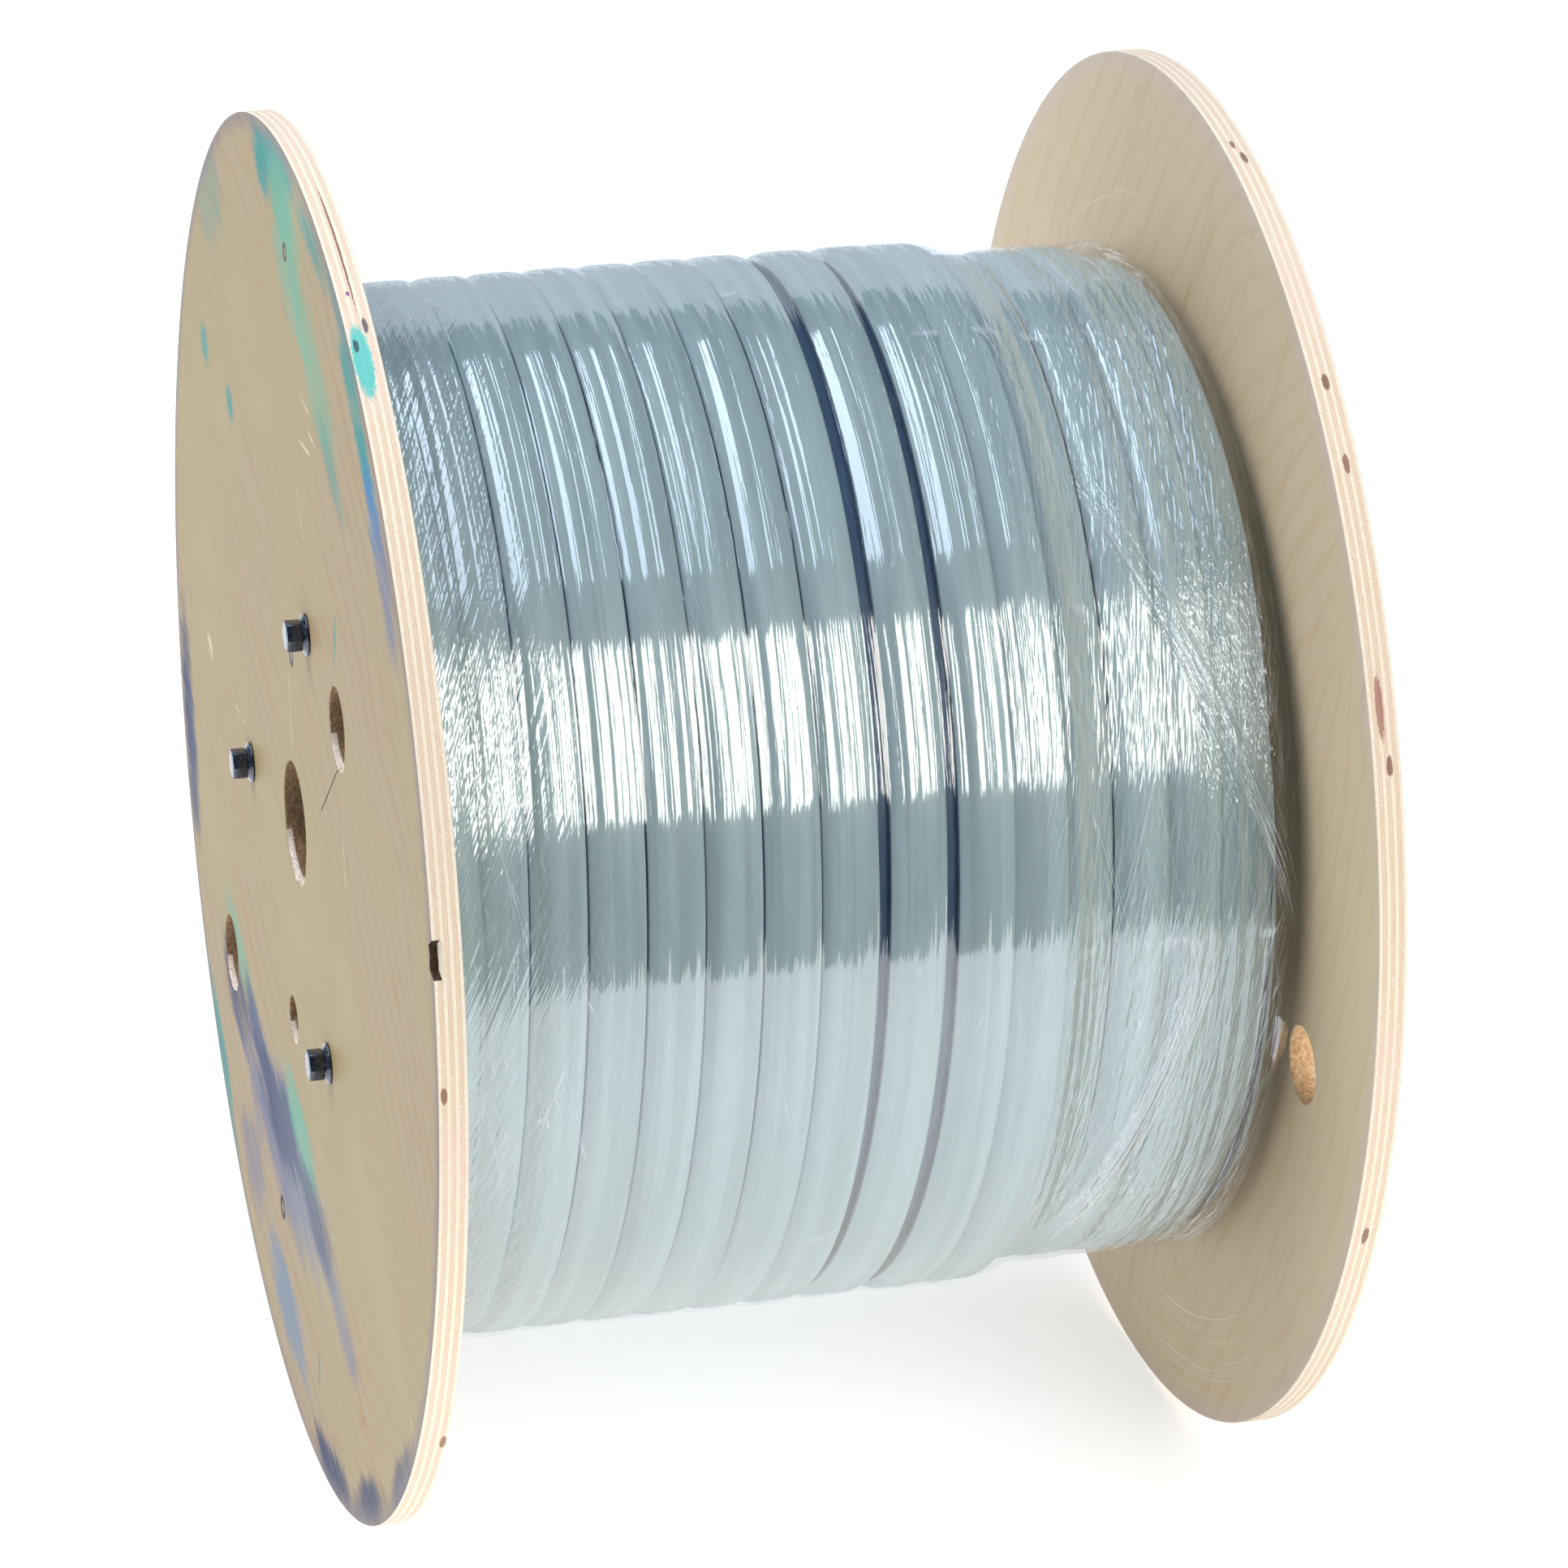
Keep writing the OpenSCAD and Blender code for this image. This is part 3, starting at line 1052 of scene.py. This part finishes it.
def cable_section(settings):
    """The keyed flat cable across its width: (across, up) points, anticlockwise."""
    width, thick = settings.width, settings.thickness
    key_w, key_h = settings.key_width, settings.key_height
    nose = 0.7 * MM
    return [
        (nose, 0),
        (width - nose, 0),
        (width - 0.2 * MM, 0.25 * nose),
        (width, nose),
        (width, thick - 1.3 * MM),
        (width - 0.25 * MM, thick - 0.6 * MM),
        (width - 0.8 * MM, thick - 0.15 * MM),
        (width - 1.6 * MM, thick),
        (width * 0.62, thick + 0.06 * MM),
        (key_w + 1.3 * MM, thick),
        (key_w + 0.2 * MM, thick - 0.25 * MM),
        (key_w * 0.5, (thick + key_h) / 2 - 0.15 * MM),
        (0.7 * MM, key_h),
        (0.2 * MM, key_h - 0.25 * MM),
        (0, key_h - 0.8 * MM),
        (0, nose),
        (0.2 * MM, 0.25 * nose),
    ]


def sweep_cable(settings, first, turns, bottom_radius, seat):
    """Winds a number of turns of the cable from a count of turns, and seats each section."""
    bm = bmesh.new()
    count = bm.verts.layers.float.new("count")
    # The side layer marks the cable's edges, where the jacket paints the shade between the turns.
    side = bm.verts.layers.float.new("side")
    start = round_axle(COUNT_ANGLE + 360 * first, 1, 0)
    out = Vector((0, start.y, start.z - AXIS.z)).normalized()
    x0 = LEFT_HIGH.x + settings.pitch * first
    outline = cable_section(settings)
    verts = [
        bm.verts.new(AXIS + out * (bottom_radius + up) + Vector((x0 + across, 0, 0)))
        for across, up in outline
    ]
    edges = [bm.edges.new(pair) for pair in zip(verts, verts[1:] + verts[:1])]
    bmesh.ops.spin(
        bm,
        geom=verts + edges,
        cent=AXIS,
        axis=(-1, 0, 0),
        dvec=(settings.pitch / TURN_STEPS, 0, 0),
        angle=2 * math.pi,
        steps=TURN_STEPS,
        use_merge=False,
        use_duplicate=False,
    )
    bm.verts.ensure_lookup_table()
    for vert in bm.verts:
        vert[count] = first + vert.index // len(outline) / TURN_STEPS
        across, up = outline[vert.index % len(outline)]
        beside = across < 0.5 * MM or across > settings.width - 0.1 * MM
        vert[side] = 1.0 if beside else 0.0
    one_turn = bm.verts[:] + bm.edges[:] + bm.faces[:]
    for number in range(1, turns):
        copy = bmesh.ops.duplicate(bm, geom=one_turn)
        moved = [item for item in copy["geom"] if isinstance(item, bmesh.types.BMVert)]
        bmesh.ops.translate(bm, verts=moved, vec=(settings.pitch * number, 0, 0))
        for vert in moved:
            vert[count] += number
    bmesh.ops.remove_doubles(bm, verts=bm.verts[:], dist=WELD)
    open_ends = [edge for edge in bm.edges if edge.is_boundary]
    bmesh.ops.holes_fill(bm, edges=open_ends, sides=0)
    for vert in bm.verts:
        turn = vert[count]
        across = vert.co.x - (LEFT_HIGH.x + settings.pitch * turn)
        aside, lift, tilt = seat(turn)
        vert.co.x += aside
        move_out(vert, lift - tilt * across)
    bmesh.ops.recalc_face_normals(bm, faces=bm.faces[:])
    return bm


def wobble(turn, seed):
    """Small unevenness along the cable."""
    return noise.noise(Vector((turn * 5.0, seed, 0.3)))


def cable_jacket(name, settings, colour):
    """Soft grey-green jacket with fine drawn lines along the cable, and painted shade on its sides
    down between the turns.
    """
    sheet = NodeSheet(name)
    x, y, z = sheet.parts(sheet.framed((0, 0, AXIS.z)))
    radius = sheet.length(y, z)
    angle = sheet.math("ARCTAN2", z, sheet.times(y, -1))
    lead = sheet.times(angle, -settings.pitch / (2 * math.pi))
    sway = sheet.times(sheet.math("SINE", sheet.plus(angle, -0.35)), -3 * MM)
    helix = sheet.plus(x, lead, sway)

    def lines(per_width, per_angle):
        place = sheet.joined(sheet.times(helix, per_width), sheet.times(angle, per_angle), radius)
        return sheet.noise(place, 1, 2, 0.5)

    drawn = lines(1700, 0.7)
    broad = lines(190, 0.8)
    marks = sheet.noise(sheet.framed((0, 0, 0), 0, (0.01, 0.03, 0.03)), 1, 3, 0.6)
    base = tuple(colour)
    light = tuple(min(part * 1.22, 1) for part in base)
    colour = sheet.mix(sheet.spread(broad, 0.35, 0.65), base, light)
    dark = tuple(part * 0.62 for part in base)
    colour = sheet.mix(sheet.times(sheet.spread(drawn, 0.5, 0.75), 0.25), colour, dark)
    colour = sheet.mix(sheet.times(sheet.spread(marks, 0.5, 0.8), 0.2), colour, (0.42, 0.50, 0.52))
    # Painted shade: the cable's sides, down between the turns, are darkened towards the gap shade
    # colour.
    side = sheet.add("ShaderNodeAttribute", attribute_name="side").outputs["Fac"]
    colour = sheet.mix(sheet.times(side, 0.7), colour, tuple(settings.gap_shade_colour))
    shader = sheet.principled(
        Base_Color=colour,
        Roughness=sheet.spread(marks, 0.3, 0.7, 0.36, 0.5),
        Normal=sheet.bump(sheet.plus(drawn, broad), 0.1 * MM, 0.6),
    )
    return sheet.finish(shader)


def build_top_layer(settings):
    """The part-filled top layer, from the left flange to the cable's end at the back."""
    bottom = TOP_RADIUS - settings.thickness

    def seat(turn):
        edge = left_edge(turn, settings.pitch)
        aside = edge - (LEFT_HIGH.x + settings.pitch * turn) + 0.25 * MM * wobble(turn, 1)
        climb = -(settings.thickness + 0.3 * MM) * (1 - smooth(turn, -0.5, -0.02))
        lift = climb + 0.12 * MM * wobble(turn, 2) - 0.15 * MM
        tilt = 0.035 * smooth(turn, 9.6, 10.2)
        return aside, lift, tilt

    return sweep_cable(settings, -0.5, TOP_TURNS, bottom, seat)


def build_lower_layer(settings):
    """The last turns of the layer below, which show beyond the step."""
    bottom = TOP_RADIUS - 2 * settings.thickness
    last = WOUND_HIGH.x - settings.width - 0.3 * MM

    def seat(turn):
        edge = min(left_edge(turn, settings.pitch), last)
        aside = edge - (LEFT_HIGH.x + settings.pitch * turn) + 0.25 * MM * wobble(turn, 3)
        dive = -(settings.thickness + 0.3 * MM) * smooth(turn, ALL_TURNS - 0.98, ALL_TURNS - 0.5)
        lift = dive + 0.12 * MM * wobble(turn, 4) - 0.15 * MM
        tilt = 0.03 + 0.15 * smooth(turn, 13.4, 14.0)
        return aside, lift, tilt

    return sweep_cable(settings, TOP_TURNS - 0.5, ALL_TURNS - TOP_TURNS, bottom, seat)


def build_core(settings):
    """The layers below, as one body with a rounded cable edge for each layer at its end."""
    bm = bmesh.new()
    inner = (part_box("barrel")[1][2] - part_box("barrel")[0][2]) / 2 + 0.05 * MM
    outer = TOP_RADIUS - 2 * settings.thickness
    layers = round((outer - inner) / settings.thickness)
    step = (outer - inner) / layers
    outline = [(LEFT_HIGH.x + 0.1 * MM, inner)]
    for layer in range(layers):
        floor = inner + layer * step
        end = WOUND_HIGH.x - 1.8 * MM + 1.6 * MM * noise.noise(Vector((layer * 3.7, 0, 0)))
        outline += [
            (end - 1.2 * MM, floor),
            (end - 0.2 * MM, floor + 0.2 * step),
            (end, floor + 0.5 * step),
            (end - 0.2 * MM, floor + 0.8 * step),
        ]
    under_top = LEFT_HIGH.x + settings.pitch * (TOP_TURNS - 1)
    filled = outer + settings.thickness - 0.5 * MM
    outline += [
        (WOUND_HIGH.x - 4 * MM, outer - 0.3 * MM),
        (under_top, outer - 0.3 * MM),
        (under_top, filled),
        (LEFT_HIGH.x + 0.1 * MM, filled),
    ]
    outline.append(outline[0])
    lathe(bm, AXIS, outline, 180)
    bmesh.ops.remove_doubles(bm, verts=bm.verts[:], dist=WELD)
    bmesh.ops.recalc_face_normals(bm, faces=bm.faces[:])
    # Painted shade: the core's top, seen only down between the top turns, takes the dark shade
    # jacket.
    for face in bm.faces:
        if min(axle_radius(vert.co) for vert in face.verts) > outer - 0.5 * MM:
            face.material_index = 1
    return bm


# ---------------------------------------------------------------- film


def clear_film():
    """Stretched clear film: sharp gloss that grows at a low angle, hazed by its creases."""
    sheet = NodeSheet("clear_stretch_film")
    along, across, _ = sheet.parts(sheet.add("ShaderNodeUVMap", uv_map="film").outputs[0])
    left = sheet.spread(across, -0.085, -0.135)
    right = sheet.spread(across, 0.040, 0.085)
    messy = sheet.math("MAXIMUM", left, right)

    def streaks(turn, length, width, seed, detail=2.0, rough=0.5):
        """Noise drawn out along the film, crossing the turns by a slope."""
        slanted = sheet.plus(across, sheet.times(along, turn))
        place = sheet.joined(sheet.times(along, 1 / length), sheet.times(slanted, 1 / width), seed)
        return sheet.noise(place, 1, detail, rough)

    def ridged(value):
        """Turns soft waves into creases with flat sides."""
        return sheet.math("ABSOLUTE", sheet.plus(value, -0.5))

    drawn = ridged(streaks(-0.024, 0.16, 2.4 * MM, 0, 1, 0.5))
    bars = ridged(streaks(-0.024, 0.30, 6.5 * MM, 4, 0, 0.5))
    nicks = streaks(-0.03, 0.010, 0.9 * MM, 13)
    slant = ridged(streaks(-0.42, 0.055, 3.4 * MM, 9, 2, 0.5))
    cross = ridged(streaks(-0.15, 0.06, 3.0 * MM, 17, 2, 0.5))
    pulled = ridged(streaks(TWIST_SLOPE, 0.10, 1.9 * MM, 21, 1, 0.5))
    flapped = ridged(streaks(FLAP_SLOPE, 0.09, 2.2 * MM, 25, 1, 0.5))
    crumpled = ridged(streaks(0.2, 0.012, 2.6 * MM, 27, 2, 0.6))

    def fold(slope, place, reach, middle, half):
        """1 along a broad fold of the film, easing to 0 beside it and at its ends."""
        aside = sheet.math("ABSOLUTE", sheet.plus(across, sheet.times(along, slope), -place))
        beyond = sheet.math("ABSOLUTE", sheet.plus(along, -middle * FILM_ARC))
        return sheet.times(
            sheet.spread(aside, reach, reach * 0.55),
            sheet.spread(beyond, half * FILM_ARC, half * FILM_ARC * 0.6),
        )

    twist = fold(TWIST_SLOPE, TWIST_PLACE, 6.5 * MM, 22, 36)
    flap = fold(FLAP_SLOPE, FLAP_PLACE, 7 * MM, -24, 25)
    corner = sheet.times(
        sheet.spread(across, 0.112, 0.120),
        sheet.spread(sheet.math("ABSOLUTE", sheet.plus(along, -0.09)), 0.075, 0.04),
    )
    loose = sheet.plus(sheet.times(slant, left), sheet.times(cross, right))
    folded = sheet.plus(
        sheet.times(pulled, twist),
        sheet.times(flapped, flap),
        sheet.times(crumpled, corner, 0.8),
    )
    height = sheet.plus(
        sheet.times(drawn, 1.7),
        sheet.times(bars, 5.2),
        sheet.times(nicks, 0.2),
        sheet.times(loose, 3.0),
        sheet.times(folded, 5.5),
    )
    bump = sheet.bump(height, 0.30 * MM, 1.0)
    facing = sheet.add("ShaderNodeLayerWeight", {"Blend": 0.5, "Normal": bump}).outputs["Facing"]
    gleam = sheet.plus(0.14, sheet.times(sheet.math("POWER", facing, 1.3), 0.29))

    lines = streaks(0.22, 0.12, 4.5 * MM, 23, 0, 0.5)
    thread = sheet.spread(sheet.math("ABSOLUTE", sheet.plus(lines, -0.5)), 0.012, 0.0)
    other = streaks(-0.30, 0.14, 5.0 * MM, 29, 0, 0.5)
    other = sheet.spread(sheet.math("ABSOLUTE", sheet.plus(other, -0.5)), 0.010, 0.0)
    thread = sheet.math("MAXIMUM", thread, other)
    where = sheet.spread(streaks(0, 0.05, 40 * MM, 31), 0.52, 0.68)
    thread = sheet.times(thread, sheet.plus(sheet.times(where, 0.55), sheet.times(messy, 0.5)))
    creases = sheet.spread(loose, 0.035, 0.0)
    haze = sheet.plus(
        sheet.times(creases, messy, 0.14),
        sheet.times(thread, 0.45),
        sheet.times(flap, 0.30),
        sheet.times(twist, sheet.spread(pulled, 0.05, 0.0), 0.35),
    )
    gloss = sheet.add(
        "ShaderNodeBsdfGlossy", {"Roughness": 0.07, "Normal": bump, "Color": (1, 1, 1)}
    ).outputs[0]
    milk = sheet.principled(Base_Color=(0.80, 0.88, 0.96), Roughness=0.25, Normal=bump)
    clear = sheet.add("ShaderNodeBsdfTransparent", {"Color": (0.96, 0.98, 0.995)}).outputs[0]
    inner = sheet.add("ShaderNodeMixShader", {0: haze, 1: clear, 2: milk}).outputs[0]
    shader = sheet.add("ShaderNodeMixShader", {0: gleam, 1: inner, 2: gloss}).outputs[0]
    return sheet.finish(shader)


def film_lining():
    """The film's inner side, which lies on the cable and hardly shows."""
    sheet = NodeSheet("film_lining")
    cling = sheet.noise(sheet.framed((0, 0, 0), 0, (0.004, 0.02, 0.02)), 1, 2, 0.5)
    gloss = sheet.add("ShaderNodeBsdfGlossy", {"Roughness": 0.2}).outputs[0]
    clear = sheet.add("ShaderNodeBsdfTransparent").outputs[0]
    share = sheet.spread(cling, 0.3, 0.8, 0.0, 0.05)
    shader = sheet.add("ShaderNodeMixShader", {0: share, 1: clear, 2: gloss}).outputs[0]
    return sheet.finish(shader)


# The two broad folds at the winding's right end: how they slope over the arc, and where
# they would cross the line level with the axle at the front.
TWIST_SLOPE, TWIST_PLACE = 0.371, 0.1529
FLAP_SLOPE, FLAP_PLACE = -0.257, 0.1182


def film_radius(x, edges, cable):
    """The film's radius over the winding, from the turns' left edges at one angle."""
    top_end = edges[TOP_TURNS - 1] + cable.width
    below = TOP_RADIUS - cable.thickness + 0.2 * MM
    drop = smooth(x, top_end - 2.5 * MM, top_end + 15 * MM)
    layer = TOP_RADIUS + (below - TOP_RADIUS) * drop
    valley = 0.0
    for left, right in zip(edges, edges[1:]):
        gap = right - left - cable.width
        middle = left + cable.width + (gap + 0.4 * cable.key_width) / 2
        reach = 1.8 * MM + gap / 2
        if abs(x - middle) < 3 * reach:
            depth = 0.75 * MM + 0.6 * min(gap, 1.6 * MM)
            valley += depth * math.exp(-(((x - middle) / reach) ** 2))
    valley *= 1 - hump(x, top_end, 16 * MM)
    return layer - valley


def film_creases(x, angle):
    """Loose creases: slanting at the left, crossing past the step, and two broad folds."""
    arc = math.radians(angle) * TOP_RADIUS
    left = smooth(-x, 0.105, 0.14)
    right = smooth(x, 0.07, 0.11)
    slant = noise.noise(Vector((arc * 9, (x - 0.16 * arc) * 170, 1)))
    crossing = noise.noise(Vector((arc * 9, (x + 0.22 * arc) * 150, 5)))
    ripple = noise.noise(Vector((arc * 5, x * 240, 8)))
    fold = (1 - abs(slant) * 2.5) * left + (1 - abs(crossing) * 2.5) * right
    twist = hump(x + TWIST_SLOPE * arc, TWIST_PLACE, 9 * MM) * hump(angle, 22, 36)
    flap = hump(x + FLAP_SLOPE * arc, FLAP_PLACE, 7 * MM) * hump(angle, -24, 26)
    return 0.13 * fold + 0.10 * ripple * (left + right) + 0.6 * twist + 0.9 * flap


def build_film(settings, cable):
    """A sleeve of film drawn over the winding and down over its last turn."""
    bm = bmesh.new()
    left, right = LEFT_HIGH.x + 0.5 * MM, WOUND_HIGH.x + 6.0 * MM
    count = settings.steps_across
    verts = [
        bm.verts.new((left + (right - left) * step / (count - 1), 0, AXIS.z - TOP_RADIUS))
        for step in range(count)
    ]
    edges = [bm.edges.new(pair) for pair in zip(verts, verts[1:])]
    bmesh.ops.spin(
        bm,
        geom=verts + edges,
        cent=AXIS,
        axis=(1, 0, 0),
        dvec=(0, 0, 0),
        angle=2 * math.pi,
        steps=settings.steps_round,
        use_merge=True,
        use_duplicate=False,
    )
    bmesh.ops.recalc_face_normals(bm, faces=bm.faces[:])
    if bm.faces[:][0].normal.dot(bm.faces[:][0].calc_center_median() - AXIS) < 0:
        bmesh.ops.reverse_faces(bm, faces=bm.faces[:])
    columns = {}
    for vert in bm.verts:
        step = round((front_angle(vert.co) + 90) * settings.steps_round / 360)
        columns.setdefault(step % settings.steps_round, []).append(vert)
    for column in columns.values():
        angle = front_angle(column[0].co)
        here = (angle - COUNT_ANGLE) / 360
        turns = [left_edge(number + here, cable.pitch) for number in range(ALL_TURNS)]
        column.sort(key=lambda vert: vert.co.x)
        radii = [film_radius(vert.co.x, turns, cable) for vert in column]
        radii = [
            (radii[max(i - 1, 0)] + 2 * radii[i] + radii[min(i + 1, count - 1)]) / 4
            for i in range(count)
        ]
        for vert, radius in zip(column, radii):
            x = vert.co.x
            fold_over = smooth(x, WOUND_HIGH.x - 5 * MM, right) ** 2 * 9 * MM
            sag = 1.2 * MM * smooth(-math.sin(math.radians(angle)), 0.55, 1.0) * (
                0.5 + noise.noise(Vector((x * 40, 0, 2)))
            )
            lift = 0.45 * MM + settings.crumple * film_creases(x, angle) + sag
            move_out(vert, radius + lift - fold_over - axle_radius(vert.co))
    layer = bm.loops.layers.uv.new("film")
    for face in bm.faces:
        middle = front_angle(face.calc_center_median())
        for loop in face.loops:
            angle = front_angle(loop.vert.co)
            if angle - middle > 180:
                angle -= 360
            elif middle - angle > 180:
                angle += 360
            loop[layer].uv = (math.radians(angle) * TOP_RADIUS, loop.vert.co.x)
    bmesh.ops.solidify(bm, geom=bm.faces[:], thickness=settings.thickness)
    bm.normal_update()
    for face in bm.faces:
        away = face.calc_center_median() - AXIS
        face.material_index = 0 if face.normal.dot(Vector((0, away.y, away.z))) > 0 else 1
    return bm


# ---------------------------------------------------------------- operators


class DRUM_OT_flanges(bpy.types.Operator):
    """Builds both plywood flanges"""

    bl_idname = "drum.flanges"
    bl_label = "Plywood flanges"

    def execute(self, context):
        settings = context.scene.drum_plywood
        build_flange("left", settings)
        build_flange("right", settings)
        return {"FINISHED"}


class DRUM_OT_barrel(bpy.types.Operator):
    """Finishes the fibre barrel"""

    bl_idname = "drum.barrel"
    bl_label = "Barrel"

    def execute(self, context):
        barrel = bpy.data.objects["barrel"]
        barrel.data.materials.clear()
        barrel.data.materials.append(kraft_tube())
        return {"FINISHED"}


class DRUM_OT_bolts(bpy.types.Operator):
    """Builds the tie bolts and their nuts"""

    bl_idname = "drum.bolts"
    bl_label = "Tie bolts and nuts"

    def execute(self, context):
        settings = context.scene.drum_bolts
        oxide = black_oxide(settings)
        for number in (1, 2, 3):
            bolt = build_bolt(number, settings)
            finished(f"flange_bolt_{number}", bolt, [oxide], [f"tie_bolt_{number}"])
            nut = build_nut(number, settings)
            finished(f"flange_nut_{number}", nut, [oxide], [f"nut_{number}"])
        return {"FINISHED"}


class DRUM_OT_winding(bpy.types.Operator):
    """Winds the flat cable: the layers below, and the turns that show"""

    bl_idname = "drum.winding"
    bl_label = "Wound cable"

    def execute(self, context):
        settings = context.scene.drum_cable
        jacket = cable_jacket("cable_jacket", settings, settings.colour)
        # A copy of the jacket in the gap shade colour paints the shade on the core's top between
        # the turns.
        painted_shade = cable_jacket("painted_shade_jacket", settings, settings.gap_shade_colour)
        below = [jacket, painted_shade]
        finished("cable_layers_below", build_core(settings), below, ["cable_winding"])
        finished("cable_lower_turns", build_lower_layer(settings), [jacket])
        finished("cable_top_turns", build_top_layer(settings), [jacket])
        return {"FINISHED"}


class DRUM_OT_film(bpy.types.Operator):
    """Wraps the winding in clear film"""

    bl_idname = "drum.film"
    bl_label = "Stretch film"

    def execute(self, context):
        settings = context.scene.drum_film
        film = build_film(settings, context.scene.drum_cable)
        finished(
            "film_sleeve",
            film,
            [clear_film(), film_lining()],
            ["stretch_film"],
            math.radians(70),
        )
        return {"FINISHED"}


# Soft boxes: name, place, target, size, watts, colour, and whether gloss shows them.
LAMPS = [
    ("front_box", (1.0, -3.0, 2.25), (0.25, 0, 0.25), (1.7, 2.45), 68, (1.0, 0.98, 0.93), True),
    ("overhead_box", (-0.58, 0.35, 2.35), (-0.58, 0.35, 0), (1.2, 2.6), 34, (0.68, 0.82, 1), True),
    ("back_wall", (0.6, 4.2, 1.5), (0, 0, 0.4), (9, 3.0), 50, (0.86, 0.93, 1.0), True),
    ("left_box", (-3.4, 1.0, 1.2), AXIS, (2.0, 1.8), 16, (1.0, 0.94, 0.84), True),
    ("top_fill", (-1.7, 0.5, 2.3), AXIS, (1.8, 1.8), 36, (1.0, 0.98, 0.95), False),
    ("front_fill", (1.3, -3.0, 1.1), AXIS, (2.0, 2.0), 34, (1.0, 0.97, 0.92), False),
]


def add_lamp(name, place, target, size, power, colour, glossy):
    """A soft box at a place, turned to its target."""
    data = bpy.data.lights.new(name, "AREA")
    data.shape = "RECTANGLE"
    data.size, data.size_y = size
    data.energy = power
    data.color = colour
    lamp = bpy.data.objects.new(name, data)
    lamp.location = place
    lamp.rotation_euler = (Vector(target) - Vector(place)).to_track_quat("-Z", "Y").to_euler()
    lamp.visible_camera = False
    lamp.visible_glossy = glossy
    bpy.context.collection.objects.link(lamp)


def add_floor(name, y_low, y_high, half_width, material):
    """One strip of the floor, between two places along Y."""
    bm = bmesh.new()
    bmesh.ops.create_grid(bm, x_segments=1, y_segments=1, size=1)
    bmesh.ops.scale(bm, vec=(half_width, (y_high - y_low) / 2, 1), verts=bm.verts[:])
    bmesh.ops.translate(bm, vec=(0, (y_high + y_low) / 2, 0), verts=bm.verts[:])
    mesh = bpy.data.meshes.new(name)
    bm.to_mesh(mesh)
    bm.free()
    mesh.materials.append(material)
    floor = bpy.data.objects.new(name, mesh)
    bpy.context.collection.objects.link(floor)
    return floor


class DRUM_OT_stage(bpy.types.Operator):
    """Sets the floor, the soft boxes and the camera"""

    bl_idname = "drum.stage"
    bl_label = "Stage"

    def execute(self, context):
        settings = context.scene.drum_stage
        sheet = NodeSheet("studio_floor")
        shader = sheet.principled(
            Base_Color=tuple(settings.floor_colour),
            Roughness=0.9,
            Emission_Color=(1.0, 1.0, 1.0),
            Emission_Strength=0.5,
        )
        paper = sheet.finish(shader)
        half = settings.floor_size / 2
        near = settings.floor_near
        floor = add_floor("studio_floor", -near, half, half, paper)
        front = add_floor("studio_floor_front", -half, -near, half, paper)
        front.visible_glossy = False
        front.visible_diffuse = False

        for lamp in LAMPS:
            add_lamp(*lamp)

        world = bpy.data.worlds.new("studio")
        world.use_nodes = True
        background = world.node_tree.nodes["Background"]
        background.inputs["Color"].default_value = (0.42, 0.62, 1.0, 1)
        background.inputs["Strength"].default_value = 0.13
        context.scene.world = world
        context.scene.view_settings.view_transform = "Standard"

        data = bpy.data.cameras.new("camera")
        data.lens = settings.focal_length
        camera = bpy.data.objects.new("camera", data)
        level = math.cos(settings.elevation)
        away = Vector(
            (
                level * math.sin(settings.azimuth),
                -level * math.cos(settings.azimuth),
                math.sin(settings.elevation),
            )
        )
        camera.location = AXIS + Vector(settings.aim) + away * settings.distance
        camera.rotation_euler = (math.pi / 2 - settings.elevation, 0, settings.azimuth)
        context.collection.objects.link(camera)
        context.scene.camera = camera
        return {"FINISHED"}


class DRUM_PT_panel(bpy.types.Panel):
    """Lists the drum's pieces"""

    bl_idname = "DRUM_PT_panel"
    bl_label = "Cable Drum"
    bl_space_type = "VIEW_3D"
    bl_region_type = "UI"
    bl_category = "Cable Drum"

    def draw(self, context):
        for operator in OPERATORS:
            self.layout.operator(operator.bl_idname)


SETTINGS = {
    "drum_plywood": PlywoodSettings,
    "drum_cable": CableSettings,
    "drum_film": FilmSettings,
    "drum_bolts": BoltSettings,
    "drum_stage": StageSettings,
}
OPERATORS = [
    DRUM_OT_stage,
    DRUM_OT_flanges,
    DRUM_OT_barrel,
    DRUM_OT_bolts,
    DRUM_OT_winding,
    DRUM_OT_film,
]


def register():
    for kind in [*SETTINGS.values(), *OPERATORS, DRUM_PT_panel]:
        bpy.utils.register_class(kind)
    for name, kind in SETTINGS.items():
        setattr(bpy.types.Scene, name, PointerProperty(type=kind))


def unregister():
    for name in SETTINGS:
        delattr(bpy.types.Scene, name)
    for kind in [DRUM_PT_panel, *reversed(OPERATORS), *reversed(list(SETTINGS.values()))]:
        bpy.utils.unregister_class(kind)


def main():
    register()
    bpy.ops.drum.stage()
    bpy.ops.drum.flanges()
    bpy.ops.drum.barrel()
    bpy.ops.drum.bolts()
    bpy.ops.drum.winding()
    bpy.ops.drum.film()


if __name__ == "__main__":
    main()
